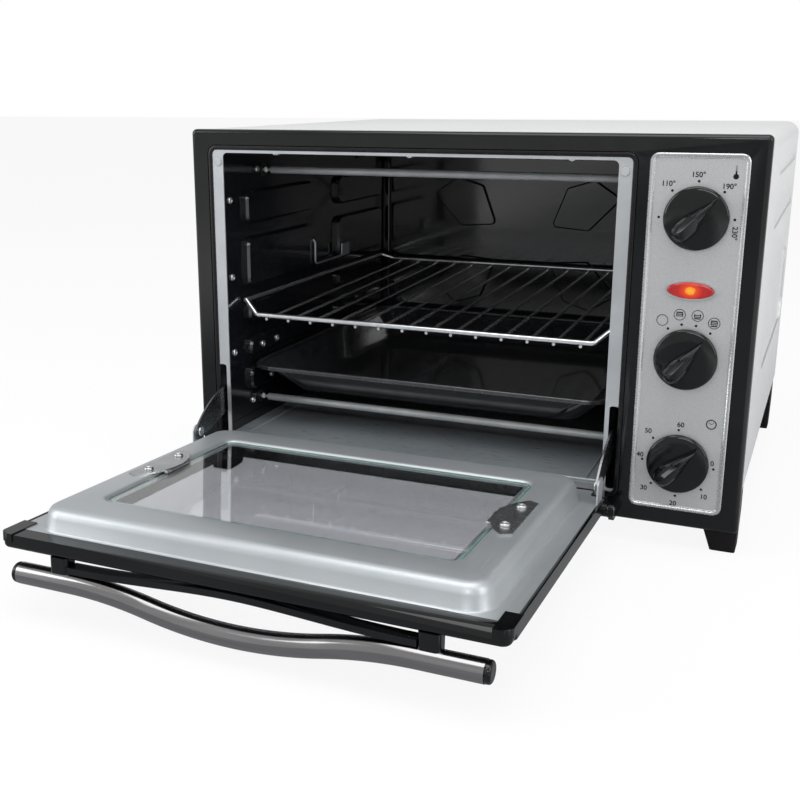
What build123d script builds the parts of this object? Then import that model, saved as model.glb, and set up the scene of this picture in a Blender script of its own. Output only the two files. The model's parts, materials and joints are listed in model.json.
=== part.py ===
from build123d import *
import os
from math import cos, radians, sin

os.makedirs("parts", exist_ok=True)

# Electric countertop oven, millimetres. X runs to the right as seen from the front, Y to the back,
# Z up. While the pieces are built, Y = 0 is the front face of the front frame, X = 0 the middle of
# the body and Z = 0 the table. The finished oven is moved along Y at the end, so that the origin
# lies under the middle of its bounding box. The door is built closed and swung open at the end.

# Body
body_width = 460.0
frame_height = 290.0
body_depth = 385.0
frame_lift = 19.0
frame_depth = 8.0
frame_corner = 4.0
frame_round = 3.5
cover_sheet = 1.2
cover_corner = 12.0
cover_side_lift = 33.0
emboss_depth = 1.5
panel_sheet = 1.0
pan_lift = 8.0
pan_inset = 5.5
pan_side_height = 40.0
foot_length = 29.0
foot_width = 27.5
foot_taper = 9.0

# Cavity: the inset is from the body's left side to the cavity's middle line
cavity_inset = 193.5
cavity_width = 330.0
cavity_depth = 355.0
cavity_floor_z = 45.0
cavity_roof_z = 290.0
cavity_sheet = 1.0
mouth_width = 328.0
mouth_floor_z = 44.0
flange_limb = 13.0
flange_sheet = 1.0
flange_y = 1.2
frame_gap = 1.0
opening_floor_z = 35.0
opening_corner = 8.0

# Guides pressed into the side walls: heights of the raised lands above the table
land_depth = 5.0
land_bevel = 2.0
land_heights = [(76.5, 98.3), (108.0, 124.7), (139.2, 158.5), (171.2, 214.7), (227.2, 255.6)]
land_front = 34.0
land_break = (166.0, 224.0)
land_rear = 341.0
tray_land = 0
rack_land = 2

# Heaters
tube_radius = 3.25
bush_radius = 6.0
bush_gap = 0.15
heater_places = {
    "heater_top_front": (72.0, 272.0),
    "heater_top_rear": (285.0, 276.0),
    "heater_bottom_front": (57.0, 65.6),
    "heater_bottom_rear": (285.0, 62.0),
}

# Wire rack and baking tray
rail_wire = 4.5
frame_wire = 4.5
cross_wire = 3.0
cross_count = 14
rack_front = 24.0
rack_length = 322.0
rack_drop = 11.5
rack_slope = 13.0
rack_rise = 7.0
tray_front = 28.0
tray_length = 318.0
tray_depth = 25.0
tray_slope = 26.0
tray_corner = 22.0
tray_sheet = 0.8
tray_rim = 1.8

# Control panel, knobs and lamp
control_width = 67.0
control_height = 263.5
control_inset = 46.8
control_z = 164.2
control_sheet = 1.8
control_border = 3.0
knob_shift = 0.3
knob_heights = {"temperature": 251.2, "function": 149.2, "timer": 69.4}
knob_diameter = 45.0
knob_skirt = 5.0
grip_height = 13.0
grip_width = 21.0
shaft_radius = 3.0
lens_width = 33.0
lens_height = 12.0
lens_z = 200.0
bezel_rim = 1.2
bracket_y = 20.0
bracket_sheet = 1.2

# Door, measured from its lower edge and from the plane of its inner rim
door_width = 347.5
door_height = 262.0
door_thickness = 10.0
door_clearance = 1.0
door_lip = 2.5
hinge_inset = 14.0
hinge_rise = 0.3
hinge_pin = 3.0
hinge_lug = 4.0
knuckle_radius = 5.5
knuckle_length = 18.0
door_floor_z = 30.0
door_open_angle = 87.2
plateau_margin = 20.0
plateau_low = 21.0
plateau_high = 254.0
plateau_height = 16.0
plateau_taper = 5.0
window_width = 255.0
window_height = 171.0
window_bottom = 52.0
window_ledge = 5.0
ledge_depth = 5.0
pane_thickness = 3.5
outer_pane = 4.0
clip_length = 74.0
clip_width = 22.0
clip_height = 135.0
clip_pitch = 40.0
rail_height = 10.0
cap_sheet = 0.8

# Handle
bar_diameter = 14.5
bar_length = 321.0
bar_height = 268.0
bar_offset = 17.0
bar_bow = 21.0
post_spacing = 255.0
post_width = 14.0
bridge_sheet = 4.3
bridge_arch = 5.2

# Door arms: the rivet's place in the door, and the blade about the rivet
arm_inset = 3.75
arm_sheet = 1.5
rivet_height = 29.0
rivet_depth = 12.7
rivet_radius = 2.5
lug_sheet = 1.2
slot_height = 66.0

running_gap = 0.05
seat_gap = 0.2

frame_top = frame_lift + frame_height
side = body_width / 2
cavity_middle = -side + cavity_inset
control_x = side - control_inset
knob_x = control_x + knob_shift
cover_floor_z = frame_lift + cover_side_lift
pan_z = frame_lift + pan_lift
cavity_side = cavity_width / 2
cavity_back = flange_y + flange_sheet + cavity_depth
wall_start = flange_y + flange_sheet
mouth_side = mouth_width / 2
opening_side = mouth_side + flange_limb + frame_gap
opening_top_z = frame_lift + 258.5
mouth_roof_z = cavity_roof_z
arm_x = door_width / 2 - arm_inset
hinge_y = -door_clearance - hinge_inset
hinge_z = door_floor_z + hinge_rise
control_left = control_x - control_width / 2
parts = {}


def block(x0, x1, y0, y1, z0, z1):
    """A box between two corners."""
    middle = Pos((x0 + x1) / 2, (y0 + y1) / 2, (z0 + z1) / 2)
    return middle * Box(x1 - x0, y1 - y0, z1 - z0)


def plate_y(x0, x1, z0, z1, y0, y1, corner):
    """An upright plate with round corners, its faces square to Y."""
    outline = RectangleRounded(x1 - x0, z1 - z0, corner)
    plane = Plane(((x0 + x1) / 2, y0, (z0 + z1) / 2), x_dir=(1, 0, 0), z_dir=(0, 1, 0))
    return extrude(plane * outline, y1 - y0)


def plate_x(y0, y1, z0, z1, x0, x1, corner):
    """An upright plate with round corners, its faces square to X."""
    outline = RectangleRounded(y1 - y0, z1 - z0, corner)
    plane = Plane((x0, (y0 + y1) / 2, (z0 + z1) / 2), x_dir=(0, 1, 0), z_dir=(1, 0, 0))
    return extrude(plane * outline, x1 - x0)


def rod_x(x0, x1, y, z, radius):
    """A round bar along X."""
    return Pos((x0 + x1) / 2, y, z) * Rot(0, 90, 0) * Cylinder(radius, x1 - x0)


def rod_y(y0, y1, x, z, radius):
    """A round bar along Y."""
    return Pos(x, (y0 + y1) / 2, z) * Rot(90, 0, 0) * Cylinder(radius, y1 - y0)


def oval_y(x, z, width, height, y0, y1):
    """An oval plug along Y."""
    plane = Plane((x, y0, z), x_dir=(1, 0, 0), z_dir=(0, 1, 0))
    return extrude(plane * Ellipse(width / 2, height / 2), y1 - y0)


def face_edges(solid, axis, last=True):
    """The edges of the outermost flat face along an axis."""
    faces = solid.faces().sort_by(axis)
    return faces[-1 if last else 0].edges()


def group(solids):
    """Separate solids kept together as one sub-part."""
    return Compound(children=list(solids))


# Casing
def side_press(sign, y0, y1, z0, z1, corner):
    """The pocket and the backing of one recess pressed into a side of the cover."""
    outer = sign * side
    inner = sign * (side - cover_sheet)
    pocket = plate_x(y0, y1, z0, z1, *sorted((outer - sign * emboss_depth, outer + sign)), corner)
    grow = cover_sheet
    backing_x = sorted((inner - sign * emboss_depth, inner + sign * cover_sheet / 2))
    backing = plate_x(y0 - grow, y1 + grow, z0 - grow, z1 + grow, *backing_x, corner + grow)
    return pocket, backing


def make_cover():
    """Sheet wrap over the top and both sides, with pressed grooves and a long side recess."""
    height = frame_top - cover_floor_z
    depth = body_depth - frame_depth

    def arch(inset, drop):
        outline = Rectangle(2 * (side - inset), height - inset + drop)
        outline = Pos(0, -(inset + drop) / 2) * outline
        top = outline.vertices().sort_by(Axis.Y)[-2:]
        outline = fillet(top, cover_corner - inset)
        plane = Plane((0, body_depth, (frame_top + cover_floor_z) / 2), z_dir=(0, -1, 0), x_dir=(1, 0, 0))
        return plane * outline

    cover = extrude(arch(0, 0), depth) - extrude(arch(cover_sheet, 5), depth)
    rear = body_depth - 25
    recesses = [(100, rear, 119, 191, 20), (104, rear, 233, 239, 2.9), (118, rear, 274, 279, 2.4)]
    for sign in (-1, 1):
        presses = [side_press(sign, *recess) for recess in recesses]
        for pocket, backing in presses:
            cover += backing
        for pocket, backing in presses:
            cover -= pocket
    return cover


def make_back():
    """Rear panel with two fields of vent slots and the hole for the mains lead."""
    inset = cover_sheet + 0.1
    x1 = side - inset
    panel = plate_y(-x1, x1, pan_z + panel_sheet, frame_top - inset, body_depth - panel_sheet,
                    body_depth, cover_corner - inset)
    slot = plate_y(-18, 18, -2, 2, body_depth - 5, body_depth + 5, 1.9)
    for column in (-1, 1):
        for row in range(7):
            panel -= Pos(column * 60 + cavity_middle, 0, 215 + row * 10) * slot
    panel -= rod_y(body_depth - 5, body_depth + 5, grommet_x, grommet_z, grommet_radius)
    return panel


grommet_x = side - 40.0
grommet_z = 75.0
grommet_radius = 7.0


def make_grommet():
    """Soft bush in the mains lead's hole."""
    inner = rod_y(body_depth - 4, body_depth + 3, grommet_x, grommet_z, grommet_radius - running_gap)
    flange = rod_y(body_depth, body_depth + 3, grommet_x, grommet_z, grommet_radius + 3)
    back = rod_y(body_depth - 4, body_depth - panel_sheet, grommet_x, grommet_z, grommet_radius + 2)
    return inner + flange + back - rod_y(body_depth - 9, body_depth + 9, grommet_x, grommet_z, 3.6)


def make_pan():
    """Base pan with turned-up sides and slots that let cool air in."""
    x1 = side - pan_inset
    y1 = body_depth - panel_sheet
    pan = block(-x1, x1, frame_depth, y1, pan_z, pan_z + pan_side_height)
    pan -= block(-x1 + panel_sheet, x1 - panel_sheet, frame_depth - 1, y1 + 1,
                 pan_z + panel_sheet, pan_z + pan_side_height + 1)
    for column in (-1, 0, 1):
        for row in range(6):
            slot = extrude(Pos(column * 90 + cavity_middle, 120 + row * 30, pan_z - 1)
                           * RectangleRounded(60, 6, 2.9), 4)
            pan -= slot
    return pan


def make_foot(sign, rear):
    """Wedge foot with a web that stands up beside the pan."""
    y0 = body_depth - panel_sheet - foot_length if rear else frame_depth + 0.5
    outer = side - 1.0
    wide = Plane((outer - foot_width / 2, y0 + foot_length / 2, pan_z)) * Rectangle(foot_width, foot_length)
    slim = Plane((outer - (foot_width - foot_taper) / 2 - 0.5, y0 + foot_length / 2, 0)) * RectangleRounded(
        foot_width - foot_taper, foot_length - 5, 2)
    wedge = loft([slim.face(), wide.face()])
    web = block(side - pan_inset + seat_gap, outer, y0, y0 + foot_length, pan_z, cover_floor_z - 0.5)
    foot = wedge + web
    if sign < 0:
        foot = mirror(foot, Plane.YZ)
    return foot


def make_frame():
    """Moulded front frame with the door opening, the panel's seat and the holes for the controls."""
    frame = plate_y(-side, side, frame_lift, frame_top, 0, frame_depth, frame_corner)
    frame = fillet(face_edges(frame, Axis.Y, last=False), frame_round)
    opening = plate_y(cavity_middle - opening_side, cavity_middle + opening_side, opening_floor_z,
                      opening_top_z + frame_lift, -1, frame_depth + 1, opening_corner)
    seat = control_plate(control_sheet, seat_gap, -control_proud + control_sheet - 10)
    frame = frame - opening - seat
    frame -= plate_y(control_left + 3, side - 16, 40, frame_top - 20, 4, frame_depth + 1, 4)
    for height in knob_heights.values():
        frame -= rod_y(-2, frame_depth + 1, knob_x, height, shaft_radius + 2)
    frame -= oval_y(knob_x, lens_z, lens_width - 4, lens_height - 3, -2, frame_depth + 1)
    return frame


control_proud = 1.0


def control_plate(sheet, grow, y0):
    """The control panel's outline as a plate whose back lies one sheet behind its proud face."""
    return plate_y(control_left - grow, control_left + control_width + grow,
                   control_z - control_height / 2 - grow, control_z + control_height / 2 + grow,
                   y0, sheet - control_proud, 5 + grow)


def make_control_panel():
    """Brushed plate with a raised, bevelled border and the holes for the shafts and the lamp."""
    plate = control_plate(control_sheet, 0, -control_proud)
    plate = chamfer(face_edges(plate, Axis.Y, last=False), 0.9)
    inner = plate_y(control_left + control_border, control_left + control_width - control_border,
                    control_z - control_height / 2 + control_border,
                    control_z + control_height / 2 - control_border,
                    -control_proud - 1, -control_proud + 0.6, 3)
    plate -= inner
    for height in knob_heights.values():
        plate -= rod_y(-5, 5, knob_x, height, shaft_radius + 1)
    plate -= oval_y(knob_x, lens_z, lens_width - 4, lens_height - 3, -5, 5)
    return plate


panel_face = -control_proud + 0.6


def make_flange():
    """Steel ring round the mouth of the cavity, with a slot for each door arm."""
    outer = mouth_side + flange_limb
    ring = plate_y(cavity_middle - outer, cavity_middle + outer, opening_floor_z + frame_gap,
                   opening_top_z + frame_lift - frame_gap, flange_y, wall_start, opening_corner - 1)
    ring -= plate_y(cavity_middle - mouth_side, cavity_middle + mouth_side, mouth_floor_z,
                    mouth_roof_z, flange_y - 1, wall_start + 1, 4)
    for sign in (-1, 1):
        x = cavity_middle + sign * (arm_x + 1.0)
        ring -= plate_y(x - 3.7, x + 3.7, slot_floor_z, slot_floor_z + slot_height, flange_y - 1,
                        wall_start + 1, 2.5)
    return ring


slot_floor_z = 41.5


def make_plugs():
    """Round plugs in the ring's upper corners."""
    plugs = []
    for sign in (-1, 1):
        x = cavity_middle + sign * (mouth_side + 4.5)
        stud = rod_y(flange_y - 1.2, flange_y, x, 282.2, 3.3)
        plugs.append(fillet(face_edges(stud, Axis.Y, last=False), 0.8))
    return group(plugs)


# Cavity
def land_pads(sign):
    """The raised lands of one side wall, and the hollows behind them."""
    pads, hollows = [], []
    face = cavity_middle + sign * cavity_side
    for z0, z1 in land_heights:
        for y0, y1 in ((land_front, land_break[0]), (land_break[1], land_rear)):
            corner = min(8, (z1 - z0) / 2 - 0.1)
            pad = plate_x(y0, y1, z0, z1, *sorted((face - sign * land_depth, face + sign * 0.5)), corner)
            inner_axis = Axis.X
            pad = chamfer(face_edges(pad, inner_axis, last=sign < 0), land_bevel)
            hollow = plate_x(y0 + 2, y1 - 2, z0 + 2, z1 - 2,
                             *sorted((face - sign * (land_depth - 1), face + sign * (cavity_sheet + 1))),
                             max(corner - 2, 0.5))
            hollow = chamfer(face_edges(hollow, inner_axis, last=sign < 0), land_bevel * 0.8)
            pads.append(pad)
            hollows.append(hollow)
    return pads, hollows


def make_side_wall(sign):
    """Side wall of the cavity with its pressed guides and the heaters' holes."""
    face = cavity_middle + sign * cavity_side
    wall = block(*sorted((face, face + sign * cavity_sheet)), wall_start, cavity_back,
                 cavity_floor_z - cavity_sheet, cavity_roof_z + cavity_sheet)
    pads, hollows = land_pads(sign)
    for pad in pads:
        wall += pad
    for hollow in hollows:
        wall -= hollow
    for y, z in heater_places.values():
        wall -= rod_x(face - 3, face + 3, y, z, bush_radius)
    return wall


def make_roof():
    """Roof of the cavity, with a shallow stiffening panel."""
    x0, x1 = cavity_middle - cavity_side, cavity_middle + cavity_side
    roof = block(x0, x1, wall_start, cavity_back, cavity_roof_z, cavity_roof_z + cavity_sheet)
    plane = Plane((cavity_middle, 190, cavity_roof_z + cavity_sheet))
    pad = extrude(plane * RectangleRounded(250, 230, 20), 3)
    pocket = extrude(Plane((cavity_middle, 190, cavity_roof_z - 1)) * RectangleRounded(248, 228, 19),
                     4)
    return roof + pad - pocket


def make_floor():
    """Floor pan of the cavity with a folded strip beside each wall and a rolled front lip."""
    x0, x1 = cavity_middle - cavity_side, cavity_middle + cavity_side
    floor = block(x0, x1, wall_start, cavity_back, cavity_floor_z - cavity_sheet, cavity_floor_z)
    for sign in (-1, 1):
        x = cavity_middle + sign * (cavity_side - 14)
        floor += Pos(x, (wall_start + cavity_back) / 2, cavity_floor_z) * Rot(90, 0, 0) * Cylinder(
            1.0, cavity_depth - 8)
    floor += rod_x(x0 + 1, x1 - 1, wall_start + 1.6, cavity_floor_z + 0.2, 1.5)
    return floor


star_pad = [(30, 19), (46, 61), (75, 70), (104, 51), (71, 16)]
star_middle_z = 179.0
star_depth = 3.0


def make_back_wall():
    """Back wall of the cavity with a star of four pressed pads."""
    x0, x1 = cavity_middle - cavity_side - cavity_sheet, cavity_middle + cavity_side + cavity_sheet
    wall = block(x0, x1, cavity_back, cavity_back + cavity_sheet, cavity_floor_z - cavity_sheet,
                 cavity_roof_z + cavity_sheet)
    outline = make_face(Polyline(*star_pad, close=True))
    outline = fillet(outline.vertices(), 5)
    pad_plane = Plane((cavity_middle, cavity_back, star_middle_z), x_dir=(1, 0, 0), z_dir=(0, -1, 0))
    pad = extrude(pad_plane * outline, star_depth)
    pad = chamfer(face_edges(pad, Axis.Y, last=False), 1.5)
    for mirror_x in (False, True):
        for mirror_z in (False, True):
            copy = pad
            if mirror_x:
                copy = mirror(copy, Plane((cavity_middle, 0, 0), z_dir=(1, 0, 0)))
            if mirror_z:
                copy = mirror(copy, Plane((0, 0, star_middle_z), z_dir=(0, 0, 1)))
            wall += copy
    return wall


def make_heater(y, z):
    """Straight tubular heater whose ends sit in the bushes of both walls."""
    reach = cavity_side + cavity_sheet + 0.8
    return rod_x(cavity_middle - reach, cavity_middle + reach, y, z, tube_radius)


def make_bushes():
    """Ceramic bushes that carry the heaters in the side walls."""
    bushes = []
    for y, z in heater_places.values():
        for sign in (-1, 1):
            inner = cavity_middle + sign * (cavity_side - 1.5)
            outer = cavity_middle + sign * (cavity_side + cavity_sheet + 0.8)
            x0, x1 = sorted((inner, outer))
            bush = rod_x(x0, x1, y, z, bush_radius - bush_gap)
            bushes.append(bush - rod_x(x0 - 1, x1 + 1, y, z, tube_radius + running_gap))
    return group(bushes)


sensor_y = (163.0, 226.0)
sensor_z = (198.0, 185.5, 174.0, 187.0)
sensor_wire = 1.3


def make_sensor_bracket():
    """Bent wire and end plate on the left wall that hold the thermostat's probe."""
    x = cavity_middle - cavity_side + land_depth + sensor_wire + 0.7
    points = [(x - sensor_wire - 0.7, sensor_y[0], sensor_z[0]), (x, sensor_y[0], sensor_z[0]), (x, sensor_y[0], sensor_z[1]),
              (x, sensor_y[1], sensor_z[2]), (x, sensor_y[1], sensor_z[3])]
    wire = None
    for start, end in zip(points, points[1:]):
        axis = Line(start, end)
        piece = sweep(Plane(axis @ 0, z_dir=axis % 0) * Circle(sensor_wire), path=axis)
        wire = piece if wire is None else wire + piece
    for point in points[1:]:
        wire += Pos(*point) * Sphere(sensor_wire)
    plate = block(x - 0.6, x + 0.6, sensor_y[1], sensor_y[1] + 20, sensor_z[2], sensor_z[3])
    foot = block(x - sensor_wire - 0.7, x + 0.6, sensor_y[1] + 17, sensor_y[1] + 19, sensor_z[2],
                 sensor_z[3])
    return wire + plate + foot


wall_screws = [(12, 249.4), (12, 183.2), (12, 116.2), (42.4, 65.2), (81.9, 116), (54.7, 116),
               (70.4, 84), (60.7, 273)]
roof_screw_y = 10.0
roof_screw_x = [-118.0, 0.0, 128.0]


def screw_head(radius, height):
    """Domed screw head with a cross recess, its flat underside on the XY plane."""
    head = extrude(Circle(radius), height)
    head = fillet(face_edges(head, Axis.Z), height * 0.7)
    cross = Box(radius * 1.1, radius * 0.3, height) + Box(radius * 0.3, radius * 1.1, height)
    return head - Pos(0, 0, height) * cross


def make_cavity_screws():
    """Screw heads on both side walls and along the roof's front edge."""
    heads = []
    for sign in (-1, 1):
        face = cavity_middle + sign * cavity_side
        for y, z in wall_screws:
            on_land = land_front < y < land_rear and any(z0 < z < z1 for z0, z1 in land_heights)
            x = face - sign * (land_depth if on_land else 0)
            heads.append(Pos(x, y, z) * Rot(0, -sign * 90, 0) * screw_head(3.0, 1.8))
    for x in roof_screw_x:
        heads.append(Pos(cavity_middle + x, roof_screw_y, cavity_roof_z) * Rot(180, 0, 0)
                     * screw_head(3.0, 1.8))
    return group(heads)


def make_carriers():
    """Channels on the base pan that carry the cavity, and stays between its back and the rear panel."""
    top = cavity_floor_z - cavity_sheet
    carriers = []
    for y in (45.0, 300.0):
        x0, x1 = cavity_middle - 120, cavity_middle + 120
        channel = block(x0, x1, y, y + 24, pan_z + panel_sheet, top)
        channel -= block(x0 - 1, x1 + 1, y + 1.2, y + 22.8, pan_z + panel_sheet - 1, top - 1.2)
        carriers.append(channel)
    for x in (cavity_middle - 120, cavity_middle + 120):
        stay = block(x - 12, x + 12, cavity_back + cavity_sheet, body_depth - panel_sheet, 250, 252)
        carriers.append(stay)
    return group(carriers)


def make_cover_screws():
    """Screws that hold the rear panel to the cover."""
    heads = []
    wide = side - 10
    places = [(x, frame_top - 12) for x in (70 - wide, 0, wide - 70)] + [(x, 90) for x in (-wide, wide)]
    for x, z in places:
        heads.append(Pos(x, body_depth, z) * Rot(-90, 0, 0) * screw_head(3.5, 2.0))
    return group(heads)


# Controls
def make_bracket():
    """Plate behind the control panel that carries the three controls and the lamp."""
    x0, x1 = control_left + 1, side - 14
    z0, z1 = 40, frame_top - 22
    plate = block(x0, x1, bracket_y, bracket_y + bracket_sheet, z0, z1)
    for x in (x0, x1 - bracket_sheet):
        plate += block(x, x + bracket_sheet, frame_depth, bracket_y, z0, z1)
    for height in knob_heights.values():
        plate -= rod_y(bracket_y - 1, bracket_y + 3, knob_x, height, shaft_radius + 1.5)
    ends = block(x0 - 1, x1 + 1, frame_depth - 1, bracket_y - 4, lens_z - 30, lens_z + 20)
    return plate - ends


control_start = bracket_y + bracket_sheet
shaft_end = control_start + 22.0


def with_bore(body, height):
    """The body with the blind bore that its shaft turns in."""
    return body - rod_y(control_start - 1, shaft_end + 0.5, knob_x, height, shaft_radius + running_gap)


def make_thermostat():
    """Bimetal thermostat with its snap switch and two tabs."""
    z = knob_heights["temperature"]
    body = block(knob_x - 17, knob_x + 17, control_start, control_start + 12, z - 14, z + 14)
    body += rod_y(control_start, shaft_end + 4, knob_x, z, 10)
    for x in (-12, 12):
        body += block(knob_x + x - 3, knob_x + x + 3, control_start + 12, control_start + 22, z - 10, z - 9)
    return with_bore(body, z)


def make_selector():
    """Rotary selector switch built of round wafers."""
    z = knob_heights["function"]
    body = rod_y(control_start, control_start + 8, knob_x, z, 19)
    body += rod_y(control_start + 8, control_start + 11, knob_x, z, 15)
    body += rod_y(control_start + 11, shaft_end + 4, knob_x, z, 19)
    for angle in range(0, 360, 60):
        x = knob_x + 16 * cos(radians(angle))
        tab_z = z + 16 * sin(radians(angle))
        body += block(x - 2, x + 2, shaft_end + 4, shaft_end + 11, tab_z - 0.5, tab_z + 0.5)
    return with_bore(body, z)


def make_timer():
    """Clockwork timer in its round can, with the bell behind."""
    z = knob_heights["timer"]
    can = rod_y(control_start, control_start + 30, knob_x, z, 24)
    can = fillet(face_edges(can, Axis.Y), 2)
    bell = rod_y(control_start + 30, control_start + 36, knob_x, z, 4)
    bell += rod_y(control_start + 36, control_start + 46, knob_x, z, 20)
    return with_bore(can + bell, z)


def make_shaft(height):
    """Control shaft with a flat for the knob."""
    shaft = rod_y(-knob_top + 3, shaft_end, knob_x, height, shaft_radius)
    return shaft - block(knob_x - 5, knob_x + 5, -knob_top, -knob_skirt, height + shaft_radius * 0.6,
                         height + 5)


knob_gap = 0.6
knob_base = panel_face - knob_gap
knob_top = knob_skirt + grip_height - knob_base


def make_knob(height, pointer):
    """Knob with a dished skirt and a tall teardrop grip that ends in a pointer."""
    radius = knob_diameter / 2
    profile = Polyline((0, 0), (radius, 0), (radius, 1.5), (radius - 2.5, knob_skirt - 1),
                       (radius - 6, knob_skirt), (0, knob_skirt), close=True)
    skirt = revolve(Plane.XZ * make_face(profile), Axis.Z)
    half = grip_width / 2

    def outline(scale):
        points = [(-3, -radius + 3), (3, -radius + 3), (half, -7), (half - 0.8, 4), (1.2, radius - 1.5),
                  (-1.2, radius - 1.5), (-half + 0.8, 4), (-half, -7)]
        face = make_face(Polyline(*[(x * scale, y * scale) for x, y in points], close=True))
        return fillet(face.vertices(), 1.0)

    top = knob_skirt + grip_height
    sections = [(knob_skirt - 1, 1.0), (top - 1.6, 0.86), (top, 0.74)]
    faces = [(Plane.XY.offset(level) * outline(scale)).face() for level, scale in sections]
    grip = loft(faces[:2]) + loft(faces[1:])
    knob = skirt + grip
    bore = Cylinder(shaft_radius + 0.02, knob_skirt + grip_height - 3,
                    align=(Align.CENTER, Align.CENTER, Align.MIN))
    knob -= bore
    turned = Rot(0, 0, pointer - 90) * knob
    return Pos(knob_x, knob_base, height) * Rot(90, 0, 0) * turned


def make_lens():
    """Domed lamp lens with a stub that reaches through the panel."""
    dome = oval_y(knob_x, lens_z, lens_width, lens_height, panel_face - 3, panel_face)
    dome = fillet(face_edges(dome, Axis.Y, last=False), 2)
    stub = oval_y(knob_x, lens_z, lens_width - 4.4, lens_height - 3.4, panel_face, 3.5)
    return dome + stub


def make_bezel():
    """Thin bright rim round the lens."""
    rim = oval_y(knob_x, lens_z, lens_width + 2 * bezel_rim, lens_height + 2 * bezel_rim,
                 panel_face - 1.6, panel_face)
    return rim - oval_y(knob_x, lens_z, lens_width + 0.1, lens_height + 0.1, panel_face - 5, 5)


def make_lamp():
    """Neon lamp behind the lens, held by the bracket."""
    lamp = rod_y(5, bracket_y, knob_x, lens_z, 3)
    return fillet(face_edges(lamp, Axis.Y, last=False), 2.5)


# Rack and tray
rail_side = mouth_side - rail_wire / 2 - 0.5
rail_z = land_heights[rack_land][1] + rail_wire / 2 + seat_gap
deck_z = rail_z - rack_drop
rack_back = rack_front + rack_length


def wire_path(points, radius):
    """Round wire along straight runs with ball joints at the bends."""
    wire = Pos(*points[0]) * Sphere(radius)
    for start, end in zip(points, points[1:]):
        axis = Line(start, end)
        wire += sweep(Plane(axis @ 0, z_dir=axis % 0) * Circle(radius), path=axis)
        wire += Pos(*end) * Sphere(radius)
    return wire


def make_rack():
    """Wire shelf: side rails in the guides, a lower deck, and wires from front to back."""
    left, right = cavity_middle - rail_side, cavity_middle + rail_side
    deck_left, deck_right = left + rack_slope, right - rack_slope
    inner_front, inner_back = rack_front + 5, rack_back - 5
    front = [(left, inner_front, rail_z), (deck_left, rack_front, deck_z), (deck_right, rack_front, deck_z),
             (right, inner_front, rail_z)]
    rear_z = deck_z + rack_rise
    rear = [(left, inner_back, rail_z), (deck_left, rack_back, rear_z), (deck_right, rack_back, rear_z),
            (right, inner_back, rail_z)]
    rack = wire_path(front, frame_wire / 2) + wire_path(rear, frame_wire / 2)
    for x in (left, right):
        rack += rod_y(inner_front, inner_back, x, rail_z, rail_wire / 2)
    pitch = (deck_right - deck_left - 20) / (cross_count - 1)
    drop = (frame_wire + cross_wire) / 2 - 0.4
    for index in range(cross_count):
        x = deck_left + 10 + index * pitch
        axis = Line((x, rack_front - 0.5, deck_z - drop), (x, rack_back + 0.5, rear_z - drop))
        rack += sweep(Plane(axis @ 0, z_dir=axis % 0) * Circle(cross_wire / 2), path=axis)
    return rack


tray_z = land_heights[tray_land][1] + seat_gap
tray_half = cavity_side - 1.5


def tray_shape(inset, z_low, z_high, taper_low):
    """A rounded tub between two heights."""
    middle = tray_front + tray_length / 2
    reach = tray_half - land_depth - 1.5 - inset
    length = tray_length - 12 - 2 * inset
    high = Plane((cavity_middle, middle, z_high)) * RectangleRounded(2 * reach, length, tray_corner - inset)
    low = Plane((cavity_middle, middle, z_low)) * RectangleRounded(
        2 * reach - 2 * taper_low, length - 2 * taper_low, max(tray_corner - inset - 4, 4))
    return loft([low.face(), high.face()])


def make_tray():
    """Deep-drawn baking tray with sloping walls and a rolled rim that runs in the guides."""
    middle = tray_front + tray_length / 2
    tub = tray_shape(0, tray_z + 1 - tray_depth, tray_z + 1, tray_slope)
    tub -= tray_shape(tray_sheet, tray_z + 1 - tray_depth + tray_sheet, tray_z + 1.01 + tray_sheet * 0.04,
                      tray_slope)
    rim = extrude(Plane((cavity_middle, middle, tray_z)) * RectangleRounded(
        2 * tray_half, tray_length, tray_corner + 4), 1.0)
    reach = tray_half - land_depth - 1.5
    rim -= extrude(Plane((cavity_middle, middle, tray_z - 1)) * RectangleRounded(
        2 * reach - 1.6, tray_length - 12 - 1.6, tray_corner - 0.8), 4)
    bead_path = Plane((cavity_middle, middle, tray_z + tray_rim)) * RectangleRounded(
        2 * tray_half - 2 * tray_rim, tray_length - 2 * tray_rim, tray_corner + 4 - tray_rim)
    path = bead_path.wire()
    start = path @ 0
    bead = sweep(Plane(start, z_dir=path % 0) * Circle(tray_rim), path=path)
    return tub + rim + bead


# Door, built closed
rim_y = -door_clearance
door_half = door_width / 2


def door_y(depth):
    """Y of a plane that lies this far from the inner rim towards the cavity."""
    return rim_y + depth


def door_z(height):
    """Z of a line this far above the door's lower edge."""
    return door_floor_z + height


def door_plate(inset, depth0, depth1, corner, low=0.0):
    """A rounded plate in the door's outline, inset on all sides."""
    return plate_y(cavity_middle - door_half + inset, cavity_middle + door_half - inset,
                   door_z(low + inset), door_z(door_height - inset), door_y(depth0), door_y(depth1),
                   corner)


def window_plate(grow, depth0, depth1, corner):
    """A rounded plate in the window's outline, grown on all sides."""
    return plate_y(cavity_middle - window_width / 2 - grow, cavity_middle + window_width / 2 + grow,
                   door_z(window_bottom - grow), door_z(window_bottom + window_height + grow),
                   door_y(depth0), door_y(depth1), corner)


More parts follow.
